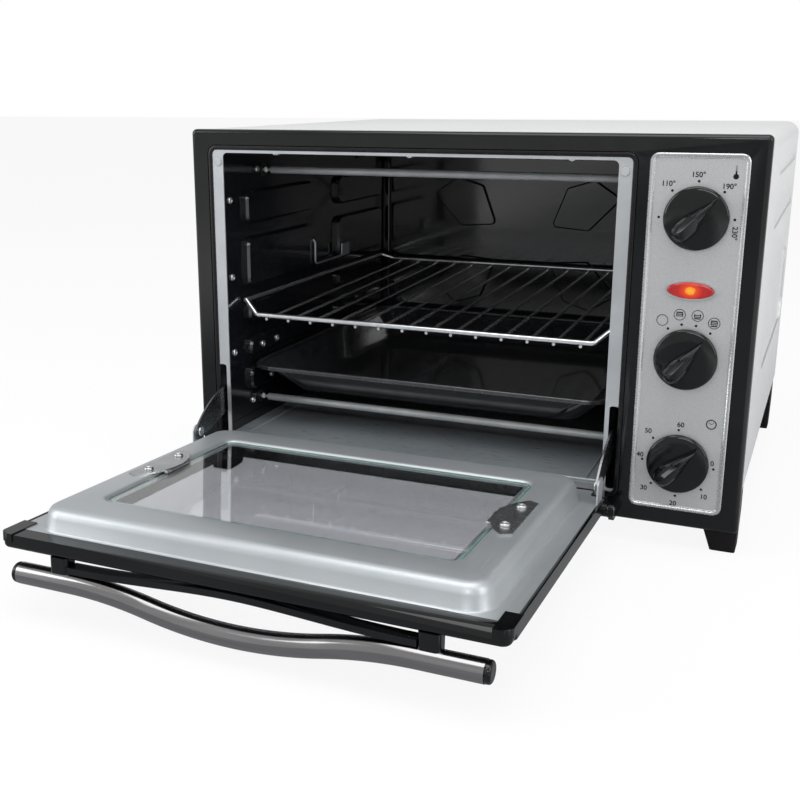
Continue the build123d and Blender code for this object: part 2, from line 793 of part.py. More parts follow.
def make_surround():
    """Black frame of the door: a ring with a rebate for the outer pane, and the hinge knuckles."""
    ring = door_plate(0, -door_thickness, -1, 6, low=0)
    ring -= door_plate(24, -door_thickness - 1, 1, 10)
    ring -= door_plate(10, -door_thickness - 1, -door_thickness + outer_pane, 6)
    ring += door_plate(0, -1.01, 0, 6) - door_plate(door_lip, -2, 2, 4)
    for sign in (-1, 1):
        edge = cavity_middle + sign * door_half
        x0, x1 = sorted((edge, edge - sign * knuckle_length))
        ring += rod_x(x0, x1, hinge_y, hinge_z, knuckle_radius)
        ring -= rod_x(x0 - 1, x1 + 1, hinge_y, hinge_z, hinge_pin + 0.01)
    return ring


def plateau_shape(inset, depth0, depth1):
    """The raised field of the inner panel, a rounded frustum."""
    def field(spread, depth):
        half = door_half - plateau_margin + spread - inset
        low, high = plateau_low - spread + inset, plateau_high + spread - inset
        plane = Plane((cavity_middle, door_y(depth), door_z((low + high) / 2)), x_dir=(1, 0, 0),
                      z_dir=(0, 1, 0))
        return (plane * RectangleRounded(2 * half, high - low, 14)).face()

    return loft([field(plateau_taper, depth0), field(0, depth1)])


def make_inner_panel():
    """Pressed inner panel: rim, raised field, and a stepped window opening."""
    sheet = panel_sheet
    panel = door_plate(door_lip + 0.1, -sheet, 0, 4)
    panel += plateau_shape(0, -0.01, plateau_height)
    crown = panel.faces().sort_by(Axis.Y)[-1]
    panel = fillet(crown.edges(), 4)
    panel -= plateau_shape(sheet, -sheet - 0.01, plateau_height - sheet)
    ledge_face = plateau_height - ledge_depth
    panel += window_plate(sheet, ledge_face - sheet, plateau_height - 1.0, 8 + sheet)
    panel -= window_plate(0, ledge_face, plateau_height + 1, 8)
    panel -= window_plate(-window_ledge, -5, plateau_height + 1, 5)
    return panel


def make_window_pane():
    """Inner window pane on the ledge of the panel."""
    face = plateau_height - ledge_depth + 0.05
    return window_plate(-0.8, face, face + pane_thickness, 6)


def make_outer_pane():
    """Outer pane in the rebate of the surround."""
    return door_plate(10.2, -door_thickness, -door_thickness + outer_pane - 0.05, 6)


def make_clip(sign):
    """Tapered strap that holds the window pane, screwed to the raised field."""
    edge = window_width / 2
    inner, outer = edge - 5, edge + clip_width - 5
    length = clip_length / 2
    bend = ThreePointArc((outer - 7, length), (inner, 0), (outer - 7, -length))
    rest = Polyline((outer - 7, -length), (outer, -length + 4), (outer, length - 4), (outer - 7, length))
    outline = make_face(bend + rest)
    plane = Plane((cavity_middle, door_y(plateau_height), door_z(clip_height)), x_dir=(1, 0, 0),
                  z_dir=(0, -1, 0))
    strap = extrude(plane * outline, -1.2)
    x0 = cavity_middle + inner
    heel = block(x0, x0 + 3, door_y(plateau_height - 1.25), door_y(plateau_height + 0.5),
                 door_z(clip_height - 16), door_z(clip_height + 16))
    clip = strap + heel
    if sign < 0:
        clip = mirror(clip, Plane((cavity_middle, 0, 0), z_dir=(1, 0, 0)))
    return clip


def make_clip_screws():
    """Two screws through each strap."""
    heads = []
    for sign in (-1, 1):
        x = cavity_middle + sign * (window_width / 2 + 8.5)
        for step in (-clip_pitch / 2, clip_pitch / 2):
            head = screw_head(3.6, 2.0)
            heads.append(Pos(x, door_y(plateau_height + 1.2), door_z(clip_height + step))
                         * Rot(-90, 0, 0) * head)
    return group(heads)


def door_outline(grow, depth0, depth1):
    """A plate in the outline of the door with its top rail, grown on all sides."""
    return plate_y(cavity_middle - door_half - grow, cavity_middle + door_half + grow, door_z(-grow),
                   door_z(door_height + rail_height + grow), door_y(depth0), door_y(depth1), 6 + grow)


def make_top_rail():
    """Rounded plastic rail along the door's upper edge."""
    rail = door_outline(0, -door_thickness, 0)
    rail -= block(cavity_middle - door_half - 5, cavity_middle + door_half + 5, door_y(-door_thickness - 5),
                  door_y(5), door_z(-5), door_z(door_height))
    return fillet(face_edges(rail, Axis.Y, last=False).filter_by(Axis.X).sort_by(Axis.Z)[-1:], 2.8)


def make_corner_caps():
    """Plastic caps over the four corners of the inner rim. The upper two wrap the door's edge."""
    caps = []
    top = door_height + rail_height
    shell = door_outline(cap_sheet, -5, cap_sheet) - door_outline(0.02, -8, 0)
    for sign in (-1, 1):
        x0, x1 = sorted((cavity_middle + sign * (door_half - 10), cavity_middle + sign * (door_half + 5)))
        caps.append(shell & block(x0, x1, door_y(-9), door_y(5), door_z(top - 25), door_z(top + 5)))
        foot = block(*sorted((cavity_middle + sign * (door_half - 11), cavity_middle + sign * door_half)),
                     door_y(0), door_y(cap_sheet), door_z(0), door_z(16))
        caps.append(fillet(foot.edges().filter_by(Axis.Y), 2.0))
    return group(caps)


bar_y = door_y(-door_thickness) - bar_offset
bar_z = door_z(bar_height)


def make_bar():
    """Round handle bar with straight ends and a shallow bow away from the door."""
    reach = bar_length / 2
    turn = post_spacing / 2 - 6
    start = Line((-reach, 0), (-turn, 0))
    bow = Spline((-turn, 0), (-turn * 0.5, -bar_bow * 0.62), (0, -bar_bow), (turn * 0.5, -bar_bow * 0.62),
                 (turn, 0), tangents=((1, 0), (1, 0)))
    end = Line((turn, 0), (reach, 0))
    path = Plane((cavity_middle, bar_y, bar_z)) * Wire([start, bow, end])
    return sweep(Plane(path @ 0, z_dir=(1, 0, 0)) * Circle(bar_diameter / 2), path=path)


def make_bar_caps():
    """Turned end caps of the bar."""
    caps = []
    for sign in (-1, 1):
        x0 = cavity_middle + sign * bar_length / 2
        cap = rod_x(*sorted((x0, x0 + sign * 4)), bar_y, bar_z, bar_diameter / 2 - 0.3)
        caps.append(fillet(face_edges(cap, Axis.X, last=sign > 0), 2))
    return group(caps)


def make_posts():
    """Plastic posts that carry the bar."""
    posts = []
    for sign in (-1, 1):
        x = cavity_middle + sign * post_spacing / 2
        face = door_y(-door_thickness)
        post = block(x - post_width / 2, x + post_width / 2, bar_y - 1.5, face, bar_z - 7, bar_z + 4)
        post = fillet(post.edges().filter_by(Axis.Y), 3)
        posts.append(post - rod_x(x - 20, x + 20, bar_y, bar_z, bar_diameter / 2 + 0.02))
    return group(posts)


def make_bridge():
    """Plastic strip between the posts, arched towards the door."""
    reach = post_spacing / 2 - post_width / 2 - 0.05
    face = door_y(-door_thickness)
    crest = -0.4

    def curve(drop):
        shoulder = crest - (bridge_arch + crest) * 0.55
        points = [(-reach, -bridge_arch - drop), (-reach / 2, shoulder - drop), (0, crest - drop),
                  (reach / 2, shoulder - drop), (reach, -bridge_arch - drop)]
        return Spline(*points, tangents=((1, 0), (1, 0)))

    arch, lower = curve(0), curve(bridge_sheet)
    outline = make_face(Wire([arch, Line(arch @ 1, lower @ 1), lower, Line(lower @ 0, arch @ 0)]))
    return extrude(Plane((cavity_middle, face, bar_z - 6)) * outline, 10)


def rivet_place():
    """The rivet's point in the closed door, as Y and Z."""
    return door_y(rivet_depth), door_z(rivet_height)


def make_lugs():
    """Upright lugs on the inner rim that the arms are riveted to."""
    lugs = []
    y, z = rivet_place()
    for sign in (-1, 1):
        x0 = cavity_middle + sign * (arm_x + arm_sheet / 2 + 0.15)
        x1 = x0 + sign * lug_sheet
        lug = block(*sorted((x0, x1)), door_y(0), y + 6, z - 8, z + 8)
        lugs.append(fillet(lug.edges().filter_by(Axis.X).sort_by(Axis.Y)[-2:], 5))
    return group(lugs)


def make_rivets():
    """Rivets that the arms turn on, headed on the inside."""
    rivets = []
    y, z = rivet_place()
    for sign in (-1, 1):
        x_out = cavity_middle + sign * (arm_x + arm_sheet / 2 + 0.15)
        x_in = cavity_middle + sign * (arm_x - arm_sheet / 2 - 0.15)
        pin = rod_x(*sorted((x_in, x_out)), y, z, rivet_radius)
        head = rod_x(*sorted((x_in - sign * 1.4, x_in)), y, z, rivet_radius + 1.5)
        head = fillet(face_edges(head, Axis.X, last=sign < 0), 0.9)
        rivets.append(pin + head)
    return group(rivets)


def make_hinge_pins():
    """Pins fixed in the door's lower corners."""
    pins = []
    for sign in (-1, 1):
        edge = cavity_middle + sign * door_half
        x0, x1 = edge - sign * knuckle_length, edge + sign * (hinge_lug + 0.5)
        pins.append(rod_x(*sorted((x0, x1)), hinge_y, hinge_z, hinge_pin))
    return group(pins)


def make_hinge_brackets():
    """Lugs on the front frame that carry the hinge pins."""
    brackets = []
    top = opening_floor_z - 1
    low = frame_lift + frame_round
    for sign in (-1, 1):
        edge = cavity_middle + sign * door_half
        x0, x1 = sorted((edge + sign * 0.5, edge + sign * (0.5 + hinge_lug)))
        web = block(x0, x1, hinge_y, 0, low, top)
        web += rod_x(x0, x1, hinge_y, hinge_z, 6)
        brackets.append(web - rod_x(x0 - 1, x1 + 1, hinge_y, hinge_z, hinge_pin + running_gap))
    return group(brackets)


def open_pose(piece, angle=door_open_angle):
    """The piece swung open with the door, about the hinge pins."""
    return Pos(0, hinge_y, hinge_z) * Rot(angle, 0, 0) * Pos(0, -hinge_y, -hinge_z) * piece


def open_point(y, z):
    """A point of the closed door after it has swung open."""
    turn = radians(door_open_angle)
    dy, dz = y - hinge_y, z - hinge_z
    return hinge_y + dy * cos(turn) - dz * sin(turn), hinge_z + dy * sin(turn) + dz * cos(turn)


def make_arm(sign):
    """Curved sheet arm, built in the open pose about its rivet, with the end inside the ring's slot."""
    y, z = open_point(*rivet_place())
    upper = ThreePointArc((-6.4, 3.4), (18, 21.5), (52, 31))
    back = Line((52, 31), (52, 9))
    lower = ThreePointArc((52, 9), (26, 0.5), (4.2, -5.8))
    head = ThreePointArc((4.2, -5.8), (-5.6, -4.6), (-6.4, 3.4))
    outline = make_face(Wire([upper, back, lower, head]))
    x0 = cavity_middle + sign * arm_x - arm_sheet / 2
    plane = Plane((x0, y, z), x_dir=(0, 1, 0), z_dir=(1, 0, 0))
    blade = extrude(plane * outline, arm_sheet)
    return blade - rod_x(x0 - 1, x0 + arm_sheet + 1, y, z, rivet_radius + running_gap)


# Assembly
parts["outer_cover"] = make_cover()
parts["back_panel"] = make_back()
parts["base_pan"] = make_pan()
parts["cord_grommet"] = make_grommet()
for side_name, sign in (("left", -1), ("right", 1)):
    parts[f"foot_front_{side_name}"] = make_foot(sign, rear=False)
    parts[f"foot_rear_{side_name}"] = make_foot(sign, rear=True)
    parts[f"cavity_{side_name}_wall"] = make_side_wall(sign)
    parts[f"door_arm_{side_name}"] = make_arm(sign)
    parts[f"glass_clip_{side_name}"] = open_pose(make_clip(sign))
parts["front_frame"] = make_frame()
parts["front_flange"] = make_flange()
parts["flange_plugs"] = make_plugs()
parts["hinge_brackets"] = make_hinge_brackets()
parts["cavity_roof"] = make_roof()
parts["cavity_floor"] = make_floor()
parts["cavity_back_wall"] = make_back_wall()
parts["cavity_screws"] = make_cavity_screws()
parts["cavity_carriers"] = make_carriers()
parts["cover_screws"] = make_cover_screws()
parts["heater_bushes"] = make_bushes()
parts["sensor_bracket"] = make_sensor_bracket()
for heater, place in heater_places.items():
    parts[heater] = make_heater(*place)
parts["control_panel"] = make_control_panel()
parts["component_bracket"] = make_bracket()
parts["thermostat_body"] = make_thermostat()
parts["selector_switch"] = make_selector()
parts["timer_body"] = make_timer()
parts["indicator_lens"] = make_lens()
parts["indicator_bezel"] = make_bezel()
parts["indicator_lamp"] = make_lamp()
knob_pointers = {"temperature": 45.0, "function": 52.5, "timer": 45.0}
for control, height in knob_heights.items():
    parts[f"{control}_shaft"] = make_shaft(height)
    parts[f"{control}_knob"] = make_knob(height, knob_pointers[control])
parts["wire_rack"] = make_rack()
parts["baking_tray"] = make_tray()
door_pieces = {
    "door_surround": make_surround(),
    "door_inner_panel": make_inner_panel(),
    "door_window_glass": make_window_pane(),
    "door_outer_glass": make_outer_pane(),
    "door_top_rail": make_top_rail(),
    "door_corner_caps": make_corner_caps(),
    "clip_screws": make_clip_screws(),
    "handle_bar": make_bar(),
    "handle_end_caps": make_bar_caps(),
    "handle_posts": make_posts(),
    "handle_bridge": make_bridge(),
    "arm_lugs": make_lugs(),
    "arm_rivets": make_rivets(),
    "hinge_pins": make_hinge_pins(),
}
for name, piece in door_pieces.items():
    parts[name] = open_pose(piece)

boxes = [piece.bounding_box() for piece in parts.values()]
front_y, rear_y = min(box.min.Y for box in boxes), max(box.max.Y for box in boxes)
left_x, right_x = min(box.min.X for box in boxes), max(box.max.X for box in boxes)
low_z, high_z = min(box.min.Z for box in boxes), max(box.max.Z for box in boxes)
shift_y = -(front_y + rear_y) / 2
for name, piece in parts.items():
    export_step(Pos(0, shift_y, 0) * piece, f"parts/{name}.step")

rivet_y, rivet_z = open_point(*rivet_place())
print("Pieces:", len(parts))
print("Box: X %.2f to %.2f, Y %.2f to %.2f, Z %.2f to %.2f"
      % (left_x, right_x, front_y + shift_y, rear_y + shift_y, low_z, high_z))
print("Shift along Y: %.4f" % shift_y)
print("Hinge: Y %.4f Z %.4f" % (hinge_y + shift_y, hinge_z))
print("Rivet, door open: Y %.4f Z %.4f" % (rivet_y + shift_y, rivet_z))
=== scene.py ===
import json
from math import atan2, cos, pi, radians, sin, tan

import bmesh
import bpy
from mathutils import Matrix, Vector


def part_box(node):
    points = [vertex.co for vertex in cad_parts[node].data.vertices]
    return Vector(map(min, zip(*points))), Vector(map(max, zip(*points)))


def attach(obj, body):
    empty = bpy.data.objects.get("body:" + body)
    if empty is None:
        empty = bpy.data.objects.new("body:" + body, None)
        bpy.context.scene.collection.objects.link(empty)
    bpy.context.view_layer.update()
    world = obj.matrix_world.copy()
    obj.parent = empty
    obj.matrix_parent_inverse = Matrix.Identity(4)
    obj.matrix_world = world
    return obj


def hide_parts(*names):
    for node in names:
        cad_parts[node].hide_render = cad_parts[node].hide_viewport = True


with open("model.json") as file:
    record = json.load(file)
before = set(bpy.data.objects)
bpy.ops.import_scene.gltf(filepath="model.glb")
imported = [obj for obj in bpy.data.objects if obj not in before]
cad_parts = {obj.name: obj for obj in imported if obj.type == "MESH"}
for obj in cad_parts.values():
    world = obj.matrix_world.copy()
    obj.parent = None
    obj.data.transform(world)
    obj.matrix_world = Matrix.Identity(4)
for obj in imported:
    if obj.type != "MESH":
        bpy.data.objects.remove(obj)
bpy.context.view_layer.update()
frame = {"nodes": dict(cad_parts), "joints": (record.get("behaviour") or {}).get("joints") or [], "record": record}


# The floor is a broad pale sweep that shows white to the camera and keeps the oven's soft shadow.
# Reflections see it pale at both sides and dimmer in front. The lamps are large soft panels. The
# camera stands to the right of the oven and looks a little down on it.
class Value:
    """A number that varies over a surface: the socket it comes from, with arithmetic on it."""

    def __init__(self, finish, socket):
        self.finish = finish
        self.socket = socket

    def maths(self, operation, first, second):
        return self.finish.node("ShaderNodeMath", {"operation": operation}, {0: first, 1: second})

    def __add__(self, other):
        return self.maths("ADD", self, other)

    def __radd__(self, other):
        return self.maths("ADD", other, self)

    def __sub__(self, other):
        return self.maths("SUBTRACT", self, other)

    def __rsub__(self, other):
        return self.maths("SUBTRACT", other, self)

    def __mul__(self, other):
        return self.maths("MULTIPLY", self, other)

    def __rmul__(self, other):
        return self.maths("MULTIPLY", other, self)

    def __truediv__(self, other):
        return self.maths("DIVIDE", self, other)


class Finish:
    """A material, or the world: node() adds a node, and its output comes back as a value."""

    def __init__(self, name, world=None):
        self.material = world or bpy.data.materials.new(name)
        self.material.use_nodes = True
        self.tree = self.material.node_tree
        self.tree.nodes.clear()

    def node(self, kind, settings=None, sockets=None, out=0):
        made = self.tree.nodes.new(kind)
        for key, setting in (settings or {}).items():
            if key == "stops":
                ramp = made.color_ramp
                while len(ramp.elements) < len(setting):
                    ramp.elements.new(0.5)
                for element, (place, colour) in zip(ramp.elements, setting):
                    element.position = place
                    element.color = colour if len(colour) == 4 else (*colour, 1)
            else:
                setattr(made, key, setting)
        for key, given in (sockets or {}).items():
            if isinstance(given, Value):
                self.tree.links.new(given.socket, made.inputs[key])
            else:
                made.inputs[key].default_value = given
        return Value(self, made.outputs[out]) if made.outputs else None

    def place(self, scale=(1, 1, 1), shift=(0, 0, 0)):
        point = self.node("ShaderNodeTexCoord", out="Object")
        return self.node("ShaderNodeMapping", None,
                         {"Vector": point, "Location": shift, "Scale": scale})

    def noise(self, size, detail=3.0, roughness=0.5, scale=(1, 1, 1)):
        return self.node("ShaderNodeTexNoise", None,
                         {"Vector": self.place(scale), "Scale": size, "Detail": detail,
                          "Roughness": roughness})

    def ramp(self, value, stops):
        return self.node("ShaderNodeValToRGB", {"stops": stops}, {"Fac": value})

    def between(self, value, low, high):
        return self.node("ShaderNodeMapRange", None,
                         {"Value": value, "From Min": 0.3, "From Max": 0.7, "To Min": low,
                          "To Max": high})

    def tint(self, value, dark, light):
        return self.ramp(value, [(0.3, dark), (0.7, light)])

    def bump(self, height, distance, strength=1.0):
        return self.node("ShaderNodeBump", None,
                         {"Height": height, "Distance": distance, "Strength": strength})

    def surface(self, **sockets):
        named = {key.replace("_", " "): given for key, given in sockets.items()}
        shader = self.node("ShaderNodeBsdfPrincipled", None, named)
        self.node("ShaderNodeOutputMaterial", None, {"Surface": shader})
        return self.material


def show(name, mesh, finish):
    """A mesh put in the scene under one finish."""
    shown = bpy.data.objects.new(name, mesh)
    bpy.context.scene.collection.objects.link(shown)
    mesh.materials.append(finish)
    return shown


def closed(bm, name, sharp=32):
    """The finished bmesh as a mesh, smooth but for edges sharper than this many degrees."""
    mesh = bpy.data.meshes.new(name)
    bmesh.ops.remove_doubles(bm, verts=bm.verts, dist=1e-6)
    bmesh.ops.recalc_face_normals(bm, faces=bm.faces)
    bm.to_mesh(mesh)
    bm.free()
    mesh.shade_smooth()
    mesh.set_sharp_from_angle(angle=radians(sharp))
    return mesh


sweep_finish = Finish("studio_floor")
backdrop = sweep_finish.node("ShaderNodeBsdfDiffuse", None, {"Color": (0.9, 0.9, 0.91, 1)})
white = sweep_finish.node("ShaderNodeEmission", None, {"Color": (1, 1, 1, 1), "Strength": 1.0})
camera_ray = sweep_finish.node("ShaderNodeLightPath", out="Is Camera Ray")
glossy_ray = sweep_finish.node("ShaderNodeLightPath", out="Is Glossy Ray")
through_ray = sweep_finish.node("ShaderNodeLightPath", out="Is Transmission Ray")
shine = camera_ray * 0.9 + glossy_ray * (1 - through_ray) * 0.5 + through_ray * 0.75
bright_floor = sweep_finish.node("ShaderNodeMixShader", None, {0: shine, 1: backdrop, 2: white})
dim = sweep_finish.node("ShaderNodeEmission", None,
                        {"Color": (0.14, 0.15, 0.16, 1), "Strength": 1.0})
sweep_x = sweep_finish.node("ShaderNodeSeparateXYZ", None,
                            {"Vector": sweep_finish.place()}, out="X")
in_front = sweep_finish.node("ShaderNodeMapRange", None, {
    "Value": sweep_x, "From Min": -0.75, "From Max": -0.45, "To Min": 0.0, "To Max": 0.75})
at_right = sweep_finish.node("ShaderNodeMapRange", None, {
    "Value": sweep_x, "From Min": 0.25, "From Max": 0.45, "To Min": 1.0, "To Max": 0.0})
sweep_mix = sweep_finish.node("ShaderNodeMixShader", None, {
    0: in_front * at_right * glossy_ray * (1 - through_ray), 1: bright_floor, 2: dim})
sweep_finish.node("ShaderNodeOutputMaterial", None, {"Surface": sweep_mix})

floor_bm = bmesh.new()
bmesh.ops.create_grid(floor_bm, x_segments=1, y_segments=1, size=14.0)
floor = show("studio_floor", closed(floor_bm, "studio_floor"), sweep_finish.material)

bpy.context.scene.world = bpy.data.worlds.new("studio")
sky = Finish("studio", bpy.context.scene.world)
clear_view = sky.node("ShaderNodeLightPath", out="Is Camera Ray") + sky.node(
    "ShaderNodeLightPath", out="Is Transmission Ray")
mirror_view = sky.node("ShaderNodeLightPath", out="Is Glossy Ray")
sky_level = sky.node("ShaderNodeClamp", None,
                     {"Value": clear_view * 0.6 + mirror_view * 0.15 + 0.42})
sky_colour = sky.node("ShaderNodeBackground", None,
                      {"Color": (1, 1, 1, 1), "Strength": sky_level})
sky.node("ShaderNodeOutputWorld", None, {"Surface": sky_colour})


def lamp(name, place, target, size, power):
    """A soft rectangular lamp aimed at a point."""
    light = bpy.data.lights.new(name, "AREA")
    light.shape = "RECTANGLE"
    light.size, light.size_y = size
    light.energy = power
    holder = bpy.data.objects.new(name, light)
    bpy.context.scene.collection.objects.link(holder)
    holder.location = place
    holder.rotation_euler = (Vector(target) - Vector(place)).to_track_quat("-Z", "Y").to_euler()


lamp("lamp_top", (0.1, -0.5, 1.9), (0, -0.1, 0.1), (1.8, 1.4), 20)
lamp("lamp_left", (-1.6, -1.1, 0.9), (0, 0, 0.15), (0.9, 1.4), 14)
lamp("lamp_right", (1.7, -0.5, 0.9), (0, 0, 0.15), (0.9, 1.3), 9)
lamp("lamp_front", (0.5, -2.2, 1.3), (0, 0, 0.15), (1.2, 0.25), 9)

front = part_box("front_frame")[0].y
camera = bpy.data.cameras.new("camera")
camera.sensor_width = 36
camera.lens = 49.0
camera.shift_x = 0.0625
camera.shift_y = -0.01875
camera_holder = bpy.data.objects.new("camera", camera)
bpy.context.scene.collection.objects.link(camera_holder)
camera_holder.location = (0.2759, front - 0.8030, 0.33675)
camera_holder.rotation_euler = (radians(75.044), radians(0.253), radians(24.092))
bpy.context.scene.camera = camera_holder
bpy.context.scene.view_settings.view_transform = "Standard"


# The casing is a wrap of sheet steel in white stove enamel, folded over the top and both sides and
# screwed to a galvanised rear panel and base pan. Black moulded feet carry it.
nodes = frame["nodes"]
record = frame["record"]
body_of = {node: body for body, held in record["behaviour"]["bodies"].items() for node in held}


def paint(finish, *names):
    """Gives CAD nodes a finish."""
    for name in names:
        slots = nodes[name].data.materials
        slots.clear()
        slots.append(finish)


def smoothed(finish, *names, sharp=28):
    """Merged copies of CAD nodes, smooth over their curves, that stand for them under a finish."""
    for name in names:
        bm = bmesh.new()
        bm.from_mesh(nodes[name].data)
        bmesh.ops.remove_doubles(bm, verts=bm.verts, dist=2e-6)
        mesh = bpy.data.meshes.new(name + "_shell")
        bm.to_mesh(mesh)
        bm.free()
        mesh.shade_smooth()
        mesh.set_sharp_from_angle(angle=radians(sharp))
        piece = show(name + "_shell", mesh, finish)
        even = piece.modifiers.new("even_normals", "WEIGHTED_NORMAL")
        even.keep_sharp = True
        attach(piece, body_of[name])
        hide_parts(name)


enamel = Finish("white_enamel")
enamel_waves = enamel.noise(55.0, 2.0)
enamel_grain = enamel.noise(900.0, 2.0)
white_enamel = enamel.surface(
    Base_Color=enamel.tint(enamel.noise(3.0), (0.80, 0.81, 0.82), (0.86, 0.87, 0.875)),
    Roughness=enamel.between(enamel_grain, 0.26, 0.36),
    Coat_Weight=0.25,
    Normal=enamel.bump(enamel_waves + enamel_grain * 0.1, 0.0002, 0.5))
smoothed(white_enamel, "outer_cover")

zinc = Finish("galvanised_sheet")
spangle = zinc.node("ShaderNodeTexVoronoi", None, {"Vector": zinc.place(), "Scale": 90.0},
                    out="Color")
spangle_tone = zinc.node("ShaderNodeSeparateColor", None, {"Color": spangle})
galvanised = zinc.surface(
    Base_Color=zinc.ramp(spangle_tone, [(0.0, (0.50, 0.51, 0.53)), (1.0, (0.64, 0.65, 0.67))]),
    Metallic=0.9, Roughness=spangle_tone * 0.15 + 0.3,
    Normal=zinc.bump(zinc.noise(300.0), 0.0002, 0.4))
paint(galvanised, "back_panel", "base_pan", "cavity_carriers", "component_bracket")

moulded = Finish("matte_black_moulding")
moulded_grain = moulded.noise(1400.0, 2.0)
matte_black = moulded.surface(
    Base_Color=moulded.tint(moulded.noise(40.0), (0.004, 0.004, 0.005), (0.008, 0.008, 0.009)),
    Roughness=moulded.between(moulded_grain, 0.42, 0.58), Specular_IOR_Level=0.2,
    Normal=moulded.bump(moulded_grain, 0.0003, 0.5))
paint(matte_black, "foot_front_left", "foot_front_right", "foot_rear_left", "foot_rear_right",
      "selector_switch")
smoothed(matte_black, "cord_grommet")


# The front frame is one black gloss moulding with rounded edges. It holds the control panel in a
# seat at the right and leaves a rounded opening for the cavity, with a soft black strip inside it.
gloss = Finish("black_gloss_moulding")
gloss_waves = gloss.noise(60.0, 2.0)
black_gloss = gloss.surface(
    Base_Color=gloss.tint(gloss.noise(25.0), (0.002, 0.0025, 0.003), (0.005, 0.0055, 0.006)),
    Roughness=gloss.between(gloss_waves, 0.08, 0.13), Specular_IOR_Level=0.45,
    Normal=gloss.bump(gloss_waves, 0.0002, 0.25))
smoothed(black_gloss, "front_frame", "hinge_brackets")

middle = -0.0365
opening_half, opening_low, opening_high, opening_corner = 0.178, 0.035, 0.2965, 0.008


def outline_y(bm, x_middle, half, low, high, y, corner):
    """The edges of an upright rounded rectangle whose face is square to Y."""
    corners = [bm.verts.new((x_middle + sx * half, y, low if sz < 0 else high))
               for sx, sz in ((-1, -1), (1, -1), (1, 1), (-1, 1))]
    bm.faces.new(corners)
    bmesh.ops.bevel(bm, geom=corners, offset=corner, offset_type="OFFSET", segments=8,
                    profile=0.5, affect="VERTICES", material=-1, clamp_overlap=False)
    face = max(bm.faces, key=lambda f: len(f.verts))
    edges = list(face.edges)
    bmesh.ops.delete(bm, geom=[face], context="FACES_ONLY")
    return edges


def band(bm, x_middle, sections):
    """A skin through rounded rectangles, given as (half, low, high, y, corner)."""
    edges = outline_y(bm, x_middle, *sections[0])
    for (half, low, high, _, corner), after in zip(sections, sections[1:]):
        next_half, next_low, next_high, next_y, next_corner = after
        made = bmesh.ops.extrude_edge_only(bm, edges=edges)["geom"]
        raised = {part for part in made if isinstance(part, bmesh.types.BMVert)}
        edges = [part for part in made if isinstance(part, bmesh.types.BMEdge)
                 and all(v in raised for v in part.verts)]
        for v in raised:
            side = 1 if v.co.x > x_middle else -1
            level = 1 if v.co.z > (low + high) / 2 else -1
            across = (v.co.x - x_middle - side * (half - corner)) / corner
            up = (v.co.z - (low + high) / 2 - level * ((high - low) / 2 - corner)) / corner
            v.co = (x_middle + side * (next_half - next_corner) + across * next_corner, next_y,
                    (next_low + next_high) / 2 + level * ((next_high - next_low) / 2 - next_corner)
                    + up * next_corner)


def grown(spread, y):
    """A section of the opening's outline, grown on all sides."""
    return (opening_half + spread, opening_low - spread, opening_high + spread, y,
            opening_corner + spread)


def add(bm, name, finish, body, sharp=32):
    """A finished bmesh as a new piece of a body."""
    piece = show(name, closed(bm, name, sharp), finish)
    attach(piece, body)


strip = bmesh.new()
band(strip, middle, [grown(spread, front + y) for spread, y in (
    (-0.0003, 0.0021), (-0.0003, 0.0009), (-0.0007, 0.0003), (-0.0014, 0.0001), (-0.0026, 0.0001),
    (-0.0036, 0.0004), (-0.0042, 0.0012), (-0.0042, 0.0021))])
strip_finish = Finish("black_soft_strip")
strip_grain = strip_finish.noise(1100.0, 2.0)
soft_strip = strip_finish.surface(
    Base_Color=strip_finish.tint(strip_finish.noise(60.0), (0.003, 0.003, 0.004),
                                 (0.007, 0.007, 0.008)),
    Roughness=strip_finish.between(strip_grain, 0.22, 0.34), Specular_IOR_Level=0.35,
    Normal=strip_finish.bump(strip_grain, 0.0002, 0.3))
add(strip, "mouth_strip", soft_strip, "body")


# The cavity is black enamelled sheet with pressed guides, a pale steel ring round its mouth and a
# bright galvanised floor. Plain screws hold the walls, and folded flanges close its rear corners.
oven_black = Finish("cavity_enamel")
enamel_specks = oven_black.noise(700.0, 4.0)
cavity_enamel = oven_black.surface(
    Base_Color=oven_black.tint(oven_black.noise(220.0, 5.0), (0.004, 0.005, 0.007),
                               (0.012, 0.013, 0.016)),
    Roughness=oven_black.between(enamel_specks, 0.07, 0.14), Specular_IOR_Level=0.9,
    Normal=oven_black.bump(oven_black.noise(30.0, 2.0) + enamel_specks * 0.05, 0.0003, 0.35))
paint(cavity_enamel, "cavity_left_wall", "cavity_right_wall", "cavity_roof", "cavity_back_wall")

wall_half, floor_z, roof_z = 0.165, 0.045, 0.290
rear_y, fold_width, fold_depth = front + 0.3572, 0.0085, 0.0032
folds = bmesh.new()
for sign in (-1, 1):
    post = bmesh.ops.create_cube(folds, size=1.0)["verts"]
    bmesh.ops.scale(folds, vec=(fold_width, fold_depth, roof_z - floor_z - 0.002), verts=post)
    bmesh.ops.translate(folds, vec=(middle + sign * (wall_half - 0.0045), rear_y - 0.0018,
                                    (roof_z + floor_z) / 2), verts=post)
bmesh.ops.bevel(folds, geom=folds.edges, offset=0.0012, offset_type="OFFSET", segments=3,
                profile=0.5, affect="EDGES", material=-1)
add(folds, "cavity_corner_folds", cavity_enamel, "body")

steel = Finish("ring_steel")
steel_grain = steel.noise(500.0, 3.0)
ring_steel = steel.surface(
    Base_Color=steel.tint(steel.noise(30.0), (0.48, 0.50, 0.52), (0.58, 0.60, 0.62)),
    Metallic=0.65, Roughness=steel.between(steel_grain, 0.30, 0.40),
    Normal=steel.bump(steel_grain, 0.0002, 0.3))
smoothed(ring_steel, "front_flange")

